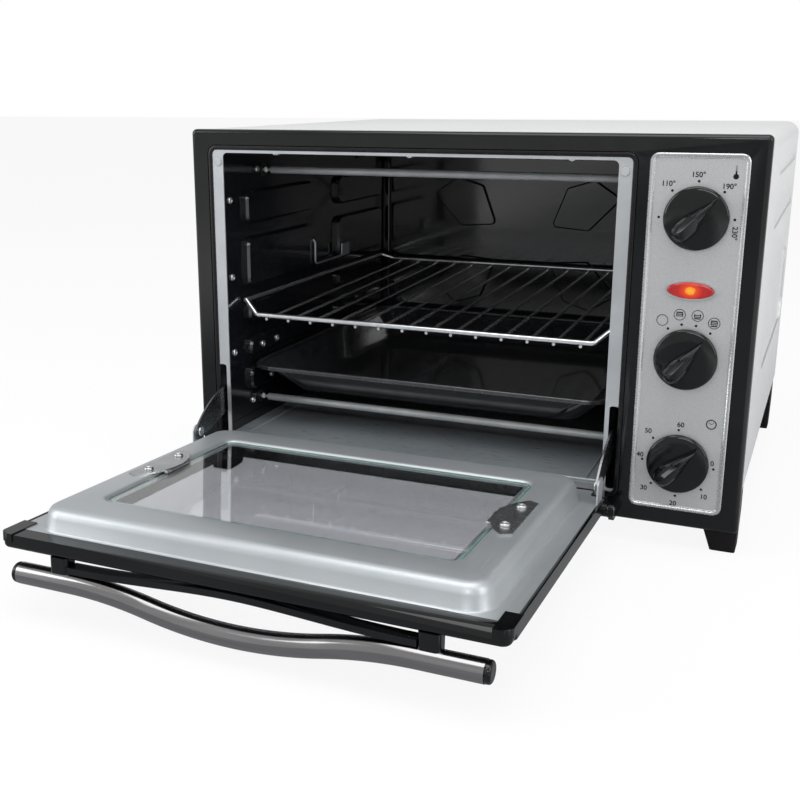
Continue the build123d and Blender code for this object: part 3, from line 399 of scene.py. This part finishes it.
plug_finish = Finish("grey_plug")
plug_grain = plug_finish.noise(900.0, 2.0)
grey_plug = plug_finish.surface(
    Base_Color=plug_finish.tint(plug_finish.noise(80.0), (0.40, 0.41, 0.42), (0.47, 0.48, 0.49)),
    Roughness=plug_finish.between(plug_grain, 0.35, 0.5),
    Normal=plug_finish.bump(plug_grain, 0.0002, 0.4))
smoothed(grey_plug, "flange_plugs")

bright = Finish("floor_steel")
bright_stain = bright.noise(14.0, 4.0)
bright_grain = bright.noise(60.0, 3.0, scale=(1, 12, 1))
floor_steel = bright.surface(
    Base_Color=bright.tint(bright_stain, (0.24, 0.27, 0.29), (0.32, 0.35, 0.37)), Metallic=0.35,
    Roughness=bright.between(bright_grain, 0.26, 0.38),
    Normal=bright.bump(bright_grain, 0.0002, 0.25))
smoothed(floor_steel, "cavity_floor")

plated = Finish("plated_screws")
plated_steel = plated.surface(
    Base_Color=plated.tint(plated.noise(400.0), (0.62, 0.62, 0.64), (0.80, 0.80, 0.82)),
    Metallic=0.9, Roughness=plated.between(plated.noise(900.0), 0.2, 0.35))
smoothed(plated_steel, "cavity_screws", "cover_screws", "arm_rivets", "hinge_pins")
paint(plated_steel, "temperature_shaft", "function_shaft", "timer_shaft", "timer_body")


# The probe's holder is one bent wire and a small plate on the left wall. It has the steel of the
# cavity's ring.
def wire(bm, points, radius, bend=0.0, sides=12, steps=6):
    """A closed round wire along straight runs, with a curved bend of this radius at each corner."""
    points = [Vector(point) for point in points]
    runs = [(after - before).normalized() for before, after in zip(points, points[1:])]
    ring = bmesh.ops.create_circle(bm, cap_ends=True, segments=sides, radius=radius)["verts"]
    turn = runs[0].to_track_quat("Z", "Y").to_matrix().to_4x4()
    bmesh.ops.transform(bm, matrix=Matrix.Translation(points[0]) @ turn, verts=ring)
    tip = list(ring[0].link_faces)
    here = points[0].copy()
    for index, run in enumerate(runs):
        last = index == len(runs) - 1
        angle = 0 if last else run.angle(runs[index + 1])
        trim = bend * tan(angle / 2)
        stop = points[index + 1] - run * trim
        made = bmesh.ops.extrude_face_region(bm, geom=tip)["geom"]
        bmesh.ops.translate(bm, vec=stop - here,
                            verts=[v for v in made if isinstance(v, bmesh.types.BMVert)])
        tip = [face for face in made if isinstance(face, bmesh.types.BMFace)]
        here = stop
        if not last and angle > 1e-4:
            inward = (runs[index + 1] - run * run.dot(runs[index + 1])).normalized()
            made = bmesh.ops.spin(bm, geom=tip, cent=stop + inward * bend,
                                  axis=run.cross(runs[index + 1]), dvec=(0, 0, 0), angle=angle,
                                  steps=steps, use_merge=False)["geom_last"]
            tip = [face for face in made if isinstance(face, bmesh.types.BMFace)]
            here = points[index + 1] + runs[index + 1] * trim


def stand_for(bm, name, finish, *replaced, sharp=32):
    """A finished bmesh that stands for CAD nodes and rides on the body of the first."""
    piece = show(name, closed(bm, name, sharp), finish)
    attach(piece, body_of[replaced[0]])
    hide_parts(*replaced)


holder_x, hook_y, catch_y, run_z = middle - wall_half + 0.0072, front + 0.163, front + 0.226, 0.1745
holder_radius, holder_bend = 0.0009, 0.004
holder = bmesh.new()
wire(holder, [(holder_x - 0.002, hook_y, 0.198), (holder_x, hook_y, 0.197),
              (holder_x, hook_y, run_z), (holder_x, catch_y, run_z), (holder_x, catch_y, 0.187)],
     holder_radius, holder_bend)
plate = bmesh.ops.create_cube(holder, size=1.0)["verts"]
bmesh.ops.scale(holder, vec=(0.0008, 0.017, 0.0125), verts=plate)
bmesh.ops.translate(holder, vec=(holder_x, front + 0.2355, 0.1805), verts=plate)
stand_for(holder, "probe_holder", ring_steel, "sensor_bracket")


# Four tubular heaters with satin steel sheaths run from wall to wall. At each end a pale bead and a
# thin pin carry the current through a dark glazed bush in the wall.
sheath = Finish("heater_sheath")
sheath_heat = sheath.noise(8.0, 2.0, scale=(6, 1, 1))
heater_sheath = sheath.surface(
    Base_Color=sheath.tint(sheath_heat, (0.40, 0.42, 0.43), (0.50, 0.52, 0.53)),
    Metallic=0.35, Roughness=sheath.between(sheath.noise(600.0), 0.36, 0.48))

glaze = Finish("dark_glaze")
dark_glaze = glaze.surface(
    Base_Color=glaze.tint(glaze.noise(150.0), (0.015, 0.015, 0.017), (0.03, 0.03, 0.033)),
    Roughness=glaze.between(glaze.noise(500.0), 0.2, 0.35),
    Normal=glaze.bump(glaze.noise(200.0), 0.0002, 0.4))
smoothed(dark_glaze, "heater_bushes")

ceramic = Finish("pale_ceramic")
pale_ceramic = ceramic.surface(
    Base_Color=ceramic.tint(ceramic.noise(150.0), (0.66, 0.65, 0.62), (0.78, 0.77, 0.74)),
    Roughness=ceramic.between(ceramic.noise(500.0), 0.25, 0.4),
    Normal=ceramic.bump(ceramic.noise(200.0), 0.0002, 0.4))
paint(pale_ceramic, "thermostat_body")

tube_radius, tube_half = 0.00325, wall_half - 0.0085
pin_radius, bead_radius = 0.0012, 0.0025
heater_middles = []
for place in ("top_front", "top_rear", "bottom_front", "bottom_rear"):
    heater = "heater_" + place
    low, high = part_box(heater)
    y, z = (low.y + high.y) / 2, (low.z + high.z) / 2
    heater_middles.append((y, z))
    tube = bmesh.new()
    bmesh.ops.create_cone(tube, cap_ends=True, segments=32, radius1=tube_radius,
                          radius2=tube_radius, depth=2 * tube_half)
    rims = [edge for edge in tube.edges
            if all(abs(abs(v.co.z) - tube_half) < 1e-5 for v in edge.verts)]
    bmesh.ops.bevel(tube, geom=rims, offset=0.0009, offset_type="OFFSET", segments=3, profile=0.5,
                    affect="EDGES", material=-1)
    bmesh.ops.create_cone(tube, cap_ends=True, segments=16, radius1=pin_radius,
                          radius2=pin_radius, depth=high.x - low.x)
    tube.transform(Matrix.Translation((middle, y, z)) @ Matrix.Rotation(pi / 2, 4, "Y"))
    stand_for(tube, heater + "_tube", heater_sheath, heater)

beads = bmesh.new()
for y, z in heater_middles:
    for sign in (-1, 1):
        bead = bmesh.ops.create_uvsphere(beads, u_segments=20, v_segments=12,
                                         radius=bead_radius)["verts"]
        bmesh.ops.scale(beads, vec=(0.8, 1, 1), verts=bead)
        bmesh.ops.translate(beads, vec=(middle + sign * (wall_half - 0.0034), y, z), verts=bead)
add(beads, "heater_beads", pale_ceramic, "body")


# The control panel is a brushed silver plate with a raised border of the same metal. The border's
# brighter colour is a painted highlight on its bevel. Numbers, dots and plain signs are printed on it in black.
brushed = Finish("brushed_silver")
brush_lines = brushed.noise(40.0, 6.0, 0.7, scale=(1, 1, 60))
brush_specks = brushed.noise(1500.0, 2.0)
brushed_silver = brushed.surface(
    Base_Color=brushed.tint(brush_specks, (0.42, 0.43, 0.44), (0.58, 0.59, 0.60)),
    Metallic=0.45, Roughness=brushed.between(brush_lines, 0.30, 0.44),
    Normal=brushed.bump(brush_specks, 0.0001, 0.6))
paint(brushed_silver, "control_panel")

border = bmesh.new()
border_x, border_half, border_low, border_high = 0.1832, 0.0335, 0.03245, 0.29595
band(border, border_x, [
    (border_half - inset, border_low + inset, border_high - inset, front - rise, 0.006 - inset)
    for inset, rise in ((-0.0002, 0.0001), (-0.0002, 0.0010), (0.0003, 0.0015), (0.0010, 0.0016),
                        (0.0022, 0.0013), (0.0034, 0.0003))])
# The border's finish is the panel's brushed metal made brighter: a painted highlight on the bevel.
border_finish = Finish("painted_highlight_border")
border_grain = border_finish.noise(900.0, 2.0)
painted_highlight_border = border_finish.surface(
    Base_Color=border_finish.tint(border_grain, (0.56, 0.57, 0.58), (0.66, 0.67, 0.68)),
    Metallic=0.85, Roughness=border_finish.between(border_grain, 0.24, 0.30))
add(border, "panel_border", painted_highlight_border, "body")

panel_x, panel_y = 0.1835, front - 0.0004
knob_z = {"temperature": 0.2512, "function": 0.1492, "timer": 0.0694}
ink_finish = Finish("printing_ink")
printing_ink = ink_finish.surface(
    Base_Color=ink_finish.tint(ink_finish.noise(600.0), (0.004, 0.004, 0.005),
                               (0.010, 0.010, 0.011)),
    Roughness=ink_finish.between(ink_finish.noise(1500.0), 0.4, 0.55), Specular_IOR_Level=0.2)
ink_depth, ink_spread, digit_share = 0.00006, 0.00010, 0.70
ink_y = panel_y - ink_depth


def print_text(bm, words, x, z, height, turn=0.0):
    """Words printed on the panel about a point, turned clockwise by degrees."""
    text = bpy.data.curves.new("text", "FONT")
    text.body = words
    text.size = height / digit_share
    text.align_x = "CENTER"
    text.align_y = "CENTER"
    text.extrude = ink_depth / 2
    text.offset = ink_spread
    letters = bpy.data.objects.new("text", text)
    bpy.context.scene.collection.objects.link(letters)
    shaped = letters.evaluated_get(bpy.context.evaluated_depsgraph_get())
    mesh = bpy.data.meshes.new_from_object(shaped)
    bpy.data.objects.remove(letters)
    printed = bmesh.new()
    printed.from_mesh(mesh)
    printed.transform(Matrix.Translation((panel_x + x, ink_y, z))
                      @ Matrix.Rotation(pi / 2, 4, "X") @ Matrix.Rotation(-radians(turn), 4, "Z"))
    placed = bpy.data.meshes.new("text")
    printed.to_mesh(placed)
    printed.free()
    bm.from_mesh(placed)
    bpy.data.meshes.remove(mesh)
    bpy.data.meshes.remove(placed)


def print_disc(bm, x, z, radius, sides=20):
    """A printed dot."""
    dot = bmesh.ops.create_cone(bm, cap_ends=True, segments=sides, radius1=radius, radius2=radius,
                                depth=ink_depth)["verts"]
    bmesh.ops.transform(bm, matrix=Matrix.Translation((panel_x + x, ink_y, z))
                        @ Matrix.Rotation(pi / 2, 4, "X"), verts=dot)


def print_ring(bm, x, z, radius, width):
    """A printed circle of a fine line."""
    edge = bmesh.ops.create_circle(bm, segments=40, radius=radius)["verts"]
    start = [e for e in bm.edges if all(v in edge for v in e.verts)]
    made = bmesh.ops.extrude_edge_only(bm, edges=start)["geom"]
    inner = [v for v in made if isinstance(v, bmesh.types.BMVert)]
    bmesh.ops.scale(bm, vec=((radius - width) / radius,) * 2 + (1,), verts=inner)
    bmesh.ops.transform(bm, matrix=Matrix.Translation((panel_x + x, ink_y, z))
                        @ Matrix.Rotation(pi / 2, 4, "X"), verts=edge + inner)


def print_bar(bm, x, z, length, width, turn=0.0):
    """A printed straight line about its middle, turned anticlockwise by degrees."""
    line = bmesh.ops.create_cube(bm, size=1.0)["verts"]
    bmesh.ops.transform(bm, matrix=Matrix.Translation((panel_x + x, ink_y, z))
                        @ Matrix.Rotation(-radians(turn), 4, "Y")
                        @ Matrix.Diagonal((length, ink_depth, width, 1)), verts=line)


MILLI = 0.001
digit_height = 0.0036
numbers = bmesh.new()
for control, words, x, z, turn in (
        ("temperature", "110°", -20.6, 23.6, 0), ("temperature", "150°", -0.6, 30.2, 0),
        ("temperature", "190°", 20.4, 22.6, 0), ("temperature", "230°", 26.3, -9.5, 90),
        ("timer", "60", 0.3, 29.9, 0), ("timer", "50", -22.8, 22.6, 0),
        ("timer", "40", -27.6, 3.4, 0), ("timer", "30", -23.4, -22.6, 0),
        ("timer", "20", -1.2, -32.0, 0), ("timer", "10", 20.4, -23.9, 0),
        ("timer", "0", 24.6, 2.9, 0)):
    print_text(numbers, words, x * MILLI, knob_z[control] + z * MILLI, digit_height, turn)
add(numbers, "panel_numbers", printing_ink, "body", sharp=80)

dot_circle, dot_radius = 0.0258, 0.00095
sign_circle, sign_radius, sign_width, fine, bold = 0.0332, 0.0042, 0.0042, 0.0006, 0.0009
signs = bmesh.new()
for control, angles in (("temperature", (180, 133, 90, 47, 0)),
                        ("function", (122.5, 100, 77.5, 52.5)),
                        ("timer", (92, 137, 180, 225, 270, 315, -3))):
    for angle in angles:
        print_disc(signs, dot_circle * cos(radians(angle)),
                   knob_z[control] + dot_circle * sin(radians(angle)), dot_radius)
for angle, has_sign, upper, lower in ((123.3, False, False, False), (101.0, True, True, False),
                                      (79.4, True, False, True), (57.5, True, True, True)):
    x = sign_circle * cos(radians(angle))
    z = knob_z["function"] + sign_circle * sin(radians(angle))
    print_ring(signs, x, z, sign_radius, 0.00050)
    if has_sign:
        for side in (-1, 1):
            print_bar(signs, x + side * sign_width / 2, z, 0.0026, fine, 90)
        for step in (-0.0009, 0.0004):
            print_bar(signs, x, z + step, sign_width, fine)
    if upper:
        print_bar(signs, x, z + 0.0017, 0.0044, bold)
    if lower:
        print_bar(signs, x, z - 0.0021, 0.0044, bold)
clock_x, clock_z = 0.0217, knob_z["timer"] + 0.0327
print_ring(signs, clock_x, clock_z, 0.0038, 0.0007)
tick_circle = 0.0031
for hour in range(12):
    print_bar(signs, clock_x + tick_circle * cos(radians(30 * hour)),
              clock_z + tick_circle * sin(radians(30 * hour)), 0.0008, 0.0004, 30 * hour)
print_bar(signs, clock_x - 0.0008, clock_z + 0.0006, 0.0021, 0.0004, 142)
print_bar(signs, clock_x + 0.0010, clock_z + 0.0007, 0.0026, 0.0003, 35)
bulb_x, bulb_z = 0.0242, knob_z["temperature"] + 0.0295
print_disc(signs, bulb_x, bulb_z, 0.0019, 28)
print_bar(signs, bulb_x, bulb_z + 0.0025, 0.0026, 0.0012, 90)
for mark in range(5):
    print_bar(signs, bulb_x, bulb_z + 0.0043 + mark * 0.00075, 0.0013, 0.0003)
add(signs, "panel_signs", printing_ink, "body", sharp=80)


# The lamp's lens is red plastic, lit from behind at its middle, with a bright metal rim round it.
# The rim's chrome is also used for the rack.
red = Finish("red_lens")
lens_low, lens_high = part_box("indicator_lens")
lens_middle, glow_reach = (lens_low + lens_high) / 2, 0.017
lens_point = red.place(shift=(-lens_middle.x, 0, -lens_middle.z))
lens_flat = red.node("ShaderNodeVectorMath", {"operation": "MULTIPLY"},
                     {0: lens_point, 1: (1, 0, 1.25)})
lens_spread = red.node("ShaderNodeVectorMath", {"operation": "LENGTH"}, {0: lens_flat},
                       out="Value")
lens_grain = red.noise(700.0, 3.0)
lens_glow = red.ramp(lens_spread / glow_reach + lens_grain * 0.10 - 0.05, [
    (0.0, (1.0, 0.60, 0.03)), (0.17, (1.0, 0.42, 0.02)), (0.24, (0.80, 0.07, 0.008)),
    (0.50, (0.40, 0.012, 0.010)), (0.95, (0.22, 0.006, 0.008))])
red_lens = red.surface(
    Base_Color=(0.16, 0.008, 0.008, 1), Roughness=0.08, Emission_Color=lens_glow,
    Emission_Strength=0.8, Coat_Weight=0.3)
smoothed(red_lens, "indicator_lens")
paint(red_lens, "indicator_lamp")

chromed = Finish("chrome_plate")
chrome_plate = chromed.surface(
    Base_Color=chromed.tint(chromed.noise(200.0), (0.76, 0.77, 0.79), (0.86, 0.87, 0.89)),
    Metallic=0.9, Roughness=chromed.between(chromed.noise(800.0), 0.06, 0.14))
smoothed(chrome_plate, "indicator_bezel")


# Each knob is one black gloss moulding, a low domed disc and a tall drop-shaped grip whose point
# reads the dial. It is pushed on the flat of its shaft.
knob_back, grip_foot = front - 0.0010, 0.0030
knob_profile = [(0.0, 0.0), (0.0222, 0.0), (0.0225, 0.0006), (0.0225, 0.0018), (0.0222, 0.0027),
                (0.0214, 0.0034), (0.0203, 0.0037), (0.0150, 0.0046), (0.0, 0.0050)]
for control, pointer in (("temperature", 47.0), ("function", 52.5), ("timer", 47.0)):
    knob = bmesh.new()
    points = [knob.verts.new((x, 0, z)) for x, z in knob_profile]
    lines = [knob.edges.new(pair) for pair in zip(points, points[1:])]
    bmesh.ops.spin(knob, geom=points + lines, cent=(0, 0, 0), axis=(0, 0, 1), dvec=(0, 0, 0),
                   angle=2 * pi, steps=72, use_merge=True)
    bmesh.ops.remove_doubles(knob, verts=knob.verts, dist=1e-6)
    grip = bmesh.new()
    kite = [grip.verts.new((x, y, grip_foot)) for x, y in (
        (0.0208, 0.0), (-0.0060, 0.0080), (-0.0200, 0.0068), (-0.0200, -0.0068),
        (-0.0060, -0.0080))]
    grip.faces.new(kite)
    bmesh.ops.bevel(grip, geom=kite[1:], offset=0.0062, offset_type="OFFSET", segments=6,
                    profile=0.5, affect="VERTICES", material=-1)
    top = [max(grip.faces, key=lambda face: len(face.verts))]
    for rise, along, across, shift in (
            (0.0050, 0.985, 0.97, 0.0), (0.0036, 0.97, 0.88, 0.0003),
            (0.0026, 0.945, 0.74, 0.0007), (0.0018, 0.92, 0.60, 0.0010),
            (0.0012, 0.90, 0.48, 0.0012), (0.0007, 0.90, 0.36, 0.0012),
            (0.0003, 0.92, 0.22, 0.0010)):
        made = bmesh.ops.extrude_face_region(grip, geom=top)["geom"]
        raised = [v for v in made if isinstance(v, bmesh.types.BMVert)]
        bmesh.ops.translate(grip, vec=(shift, 0, rise), verts=raised)
        bmesh.ops.scale(grip, vec=(along, across, 1), verts=raised)
        top = [face for face in made if isinstance(face, bmesh.types.BMFace)]
    grip_mesh = bpy.data.meshes.new("grip")
    grip.to_mesh(grip_mesh)
    grip.free()
    knob.from_mesh(grip_mesh)
    bpy.data.meshes.remove(grip_mesh)
    knob.transform(Matrix.Translation((panel_x, knob_back, knob_z[control]))
                   @ Matrix.Rotation(pi / 2, 4, "X") @ Matrix.Rotation(radians(pointer), 4, "Z"))
    stand_for(knob, control + "_knob_moulding", black_gloss, control + "_knob", sharp=40)


# The wire rack is bright chromed wire. Its ends and sides make one frame, and the cross wires are
# spot-welded under the deck from front to back.
rack_low, rack_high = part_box("wire_rack")
rail_half, rail_z, slope, drop = 0.16125, 0.16095, 0.013, 0.0115
rear_rise, frame_radius, frame_bend, cross_radius = 0.007, 0.00215, 0.005, 0.0013
rack_front, rack_back = rack_low.y + 0.00225, rack_high.y - 0.00225
rack = bmesh.new()
for end_y, inner_y, deck_z in ((rack_front, rack_front + 0.005, rail_z - drop),
                               (rack_back, rack_back - 0.005, rail_z - drop + rear_rise)):
    wire(rack, [(middle - rail_half, inner_y, rail_z), (middle - rail_half + slope, end_y, deck_z),
                (middle + rail_half - slope, end_y, deck_z), (middle + rail_half, inner_y, rail_z)],
         frame_radius, frame_bend)
for sign in (-1, 1):
    wire(rack, [(middle + sign * rail_half, rack_front + 0.004, rail_z),
                (middle + sign * rail_half, rack_back - 0.004, rail_z)], frame_radius)
deck_half = rail_half - slope - 0.010
cross_wires, weld_drop, overrun = 14, 0.0031, 0.0008
for index in range(cross_wires):
    x = middle - deck_half + 2 * deck_half * index / (cross_wires - 1)
    wire(rack, [(x, rack_front - overrun, rail_z - drop - weld_drop),
                (x, rack_back + overrun, rail_z - drop + rear_rise - weld_drop)],
         cross_radius, sides=10)
stand_for(rack, "rack_wires", chrome_plate, "wire_rack", sharp=50)


# The tray is deep-drawn sheet in black enamel, with sloping walls and a rolled rim. It slides on
# the lowest guides of the walls.
tray_black = Finish("tray_enamel")
tray_grain = tray_black.noise(500.0, 3.0)
tray_enamel = tray_black.surface(
    Base_Color=tray_black.tint(tray_black.noise(90.0, 4.0), (0.022, 0.024, 0.027),
                               (0.040, 0.042, 0.046)),
    Metallic=0.2, Roughness=tray_black.between(tray_grain, 0.08, 0.15), Specular_IOR_Level=0.8,
    Coat_Weight=0.4,
    Normal=tray_black.bump(tray_black.noise(25.0), 0.0003, 0.3))
smoothed(tray_enamel, "baking_tray")


# The door has a black frame, a pressed bright inner panel with the window on a ledge, and two
# panes. Its new pieces are shaped shut and then swung open about the hinge.
hinge = next(joint for joint in frame["joints"] if joint["name"] == "door_hinge")
hinge_point = Vector(hinge["pos_m"])
door_open = radians(-hinge["range_deg"][0])
swing = (Matrix.Translation(hinge_point) @ Matrix.Rotation(door_open, 4, "X")
         @ Matrix.Translation(-hinge_point))
rim_y, sill_z = front - 0.001, 0.030


def door_section(half, low, high, depth, corner):
    """A rounded section of the shut door, at a depth from its rim towards the cavity."""
    return (half, sill_z + low, sill_z + high, rim_y + depth, corner)


pressed = Finish("pressed_bright_steel")
pressed_lines = pressed.noise(30.0, 5.0, 0.7, scale=(40, 1, 1))
pressed_cloud = pressed.noise(7.0, 3.0)
pressed_grain = pressed.noise(900.0, 2.0)
pressed_steel = pressed.surface(
    Base_Color=pressed.tint(pressed_cloud, (0.44, 0.47, 0.49), (0.54, 0.57, 0.59)),
    Metallic=0.65, Roughness=pressed.between(pressed_lines, 0.34, 0.48),
    Normal=pressed.bump(pressed_grain, 0.0001, 0.5))

panel = bmesh.new()
rim_half, rim_low, rim_high = 0.17125, 0.0026, 0.2594
crown_half, crown_low, crown_high = 0.15375, 0.021, 0.254
window_half, window_low, window_high = 0.1275, 0.052, 0.223
sections = [door_section(rim_half, rim_low, rim_high, depth, 0.004)
            for depth in (-0.001, -0.0001)]
sections += [door_section(crown_half + grow, crown_low - grow, crown_high + grow, depth,
                          0.014 + grow)
             for grow, depth in ((0.0052, 0.0), (0.0044, 0.0004), (0.0038, 0.0014),
                                 (0.0020, 0.0090), (0.0010, 0.0120), (-0.0006, 0.0142),
                                 (-0.0028, 0.0155), (-0.0056, 0.0160))]
sections += [door_section(window_half + grow, window_low - grow, window_high + grow, depth,
                          0.008 + grow)
             for grow, depth in ((0.0040, 0.0160), (0.0024, 0.0157), (0.0010, 0.0148),
                                 (0.0002, 0.0132), (0.0, 0.0116), (-0.0010, 0.0111),
                                 (-0.0050, 0.0110), (-0.0050, 0.0100))]
band(panel, middle, sections)
panel.transform(swing)
stand_for(panel, "inner_panel_pressing", pressed_steel, "door_inner_panel", sharp=60)
smoothed(pressed_steel, "arm_lugs")

smoothed(black_gloss, "door_surround", "door_top_rail", "handle_posts", "handle_bridge",
         "handle_end_caps", "door_corner_caps")

spacer = bmesh.new()
spacer_half, spacer_low, spacer_high = 0.136, 0.034, 0.238
band(spacer, middle, [
    door_section(spacer_half + grow, spacer_low - grow, spacer_high + grow, depth, 0.006)
    for grow, depth in ((0.0, -0.0058), (0.0, 0.0147), (0.0015, 0.0147), (0.0015, -0.0045),
                        (0.0105, -0.0045), (0.0105, -0.0058), (0.0, -0.0058))])
spacer.transform(swing)
add(spacer, "pane_spacer", soft_strip, "door")

clear = Finish("clear_glass")
clear_glass = clear.surface(Base_Color=(0.90, 0.93, 0.93, 1), Roughness=0.0, IOR=1.45,
                            Transmission_Weight=1.0,
                            Coat_Weight=clear.between(clear.noise(6.0), 0.0, 0.1))
paint(clear_glass, "door_window_glass")

smoke = Finish("smoked_glass")
smoked_glass = smoke.surface(Base_Color=(0.70, 0.69, 0.74, 1), Roughness=0.0, IOR=1.45,
                             Transmission_Weight=1.0,
                             Coat_Weight=smoke.between(smoke.noise(6.0), 0.0, 0.1))
paint(smoked_glass, "door_outer_glass")

edge_finish = Finish("glass_edge")
glass_edge = edge_finish.surface(
    Base_Color=edge_finish.tint(edge_finish.noise(40.0), (0.22, 0.42, 0.36), (0.34, 0.55, 0.48)),
    Roughness=edge_finish.between(edge_finish.noise(300.0), 0.15, 0.3))
pane_edge = bmesh.new()
edge_gap = 0.0008
band(pane_edge, middle, [
    door_section(window_half - edge_gap + grow, window_low + edge_gap - grow,
                 window_high - edge_gap + grow, depth, 0.006)
    for grow, depth in ((0.0, 0.0112), (0.0, 0.0146), (0.0003, 0.0146), (0.0003, 0.0112))])
pane_edge.transform(swing)
add(pane_edge, "window_glass_edge", glass_edge, "door")

strap = Finish("bright_strap")
strap_steel = strap.surface(
    Base_Color=strap.tint(strap.noise(60.0), (0.46, 0.47, 0.48), (0.58, 0.59, 0.60)),
    Metallic=0.95, Roughness=strap.between(strap.noise(60.0), 0.24, 0.30))
smoothed(strap_steel, "glass_clip_left", "glass_clip_right", "clip_screws")


# The handle is a polished dark steel tube with a shallow bow, carried by two black posts. Its bow
# is shallower than the CAD's, as in the photo.
polished = Finish("polished_dark_tube")
polish_lines = polished.noise(12.0, 2.0, scale=(1, 30, 30))
polished_tube = polished.surface(
    Base_Color=polished.tint(polish_lines, (0.30, 0.295, 0.30), (0.34, 0.335, 0.34)),
    Metallic=1.0, Roughness=polished.between(polish_lines, 0.12, 0.20))
bar_height, bar_depth, bar_reach, bar_radius = sill_z + 0.268, rim_y - 0.027, 0.1605, 0.00725
bow, bend_run = 0.0125, 0.1215 / 2
bend_angle = 2 * atan2(bow / 2, bend_run)
bend_radius = bend_run / sin(bend_angle)
trim = bend_radius * tan(bend_angle / 2)
bar = bmesh.new()
wire(bar, [(middle + x, bar_depth - y, bar_height) for x, y in (
    (-bar_reach, 0), (-2 * bend_run + trim, 0), (-trim, bow), (trim, bow),
    (2 * bend_run - trim, 0), (bar_reach, 0))], bar_radius, bend_radius, sides=40, steps=14)
bar.transform(swing)
stand_for(bar, "handle_tube", polished_tube, "handle_bar")


# Each of the door's two arms is cut from dark steel sheet. It is riveted to a lug on the inner
# panel and runs through a slot in the ring round the mouth.
dark_steel = Finish("dark_steel")
dark_grain = dark_steel.noise(400.0, 3.0)
dark_sheet = dark_steel.surface(
    Base_Color=dark_steel.tint(dark_steel.noise(25.0), (0.16, 0.165, 0.17), (0.23, 0.235, 0.24)),
    Metallic=1.0, Roughness=dark_steel.between(dark_grain, 0.22, 0.34),
    Normal=dark_steel.bump(dark_grain, 0.0002, 0.4))
smoothed(dark_sheet, "door_arm_left", "door_arm_right")
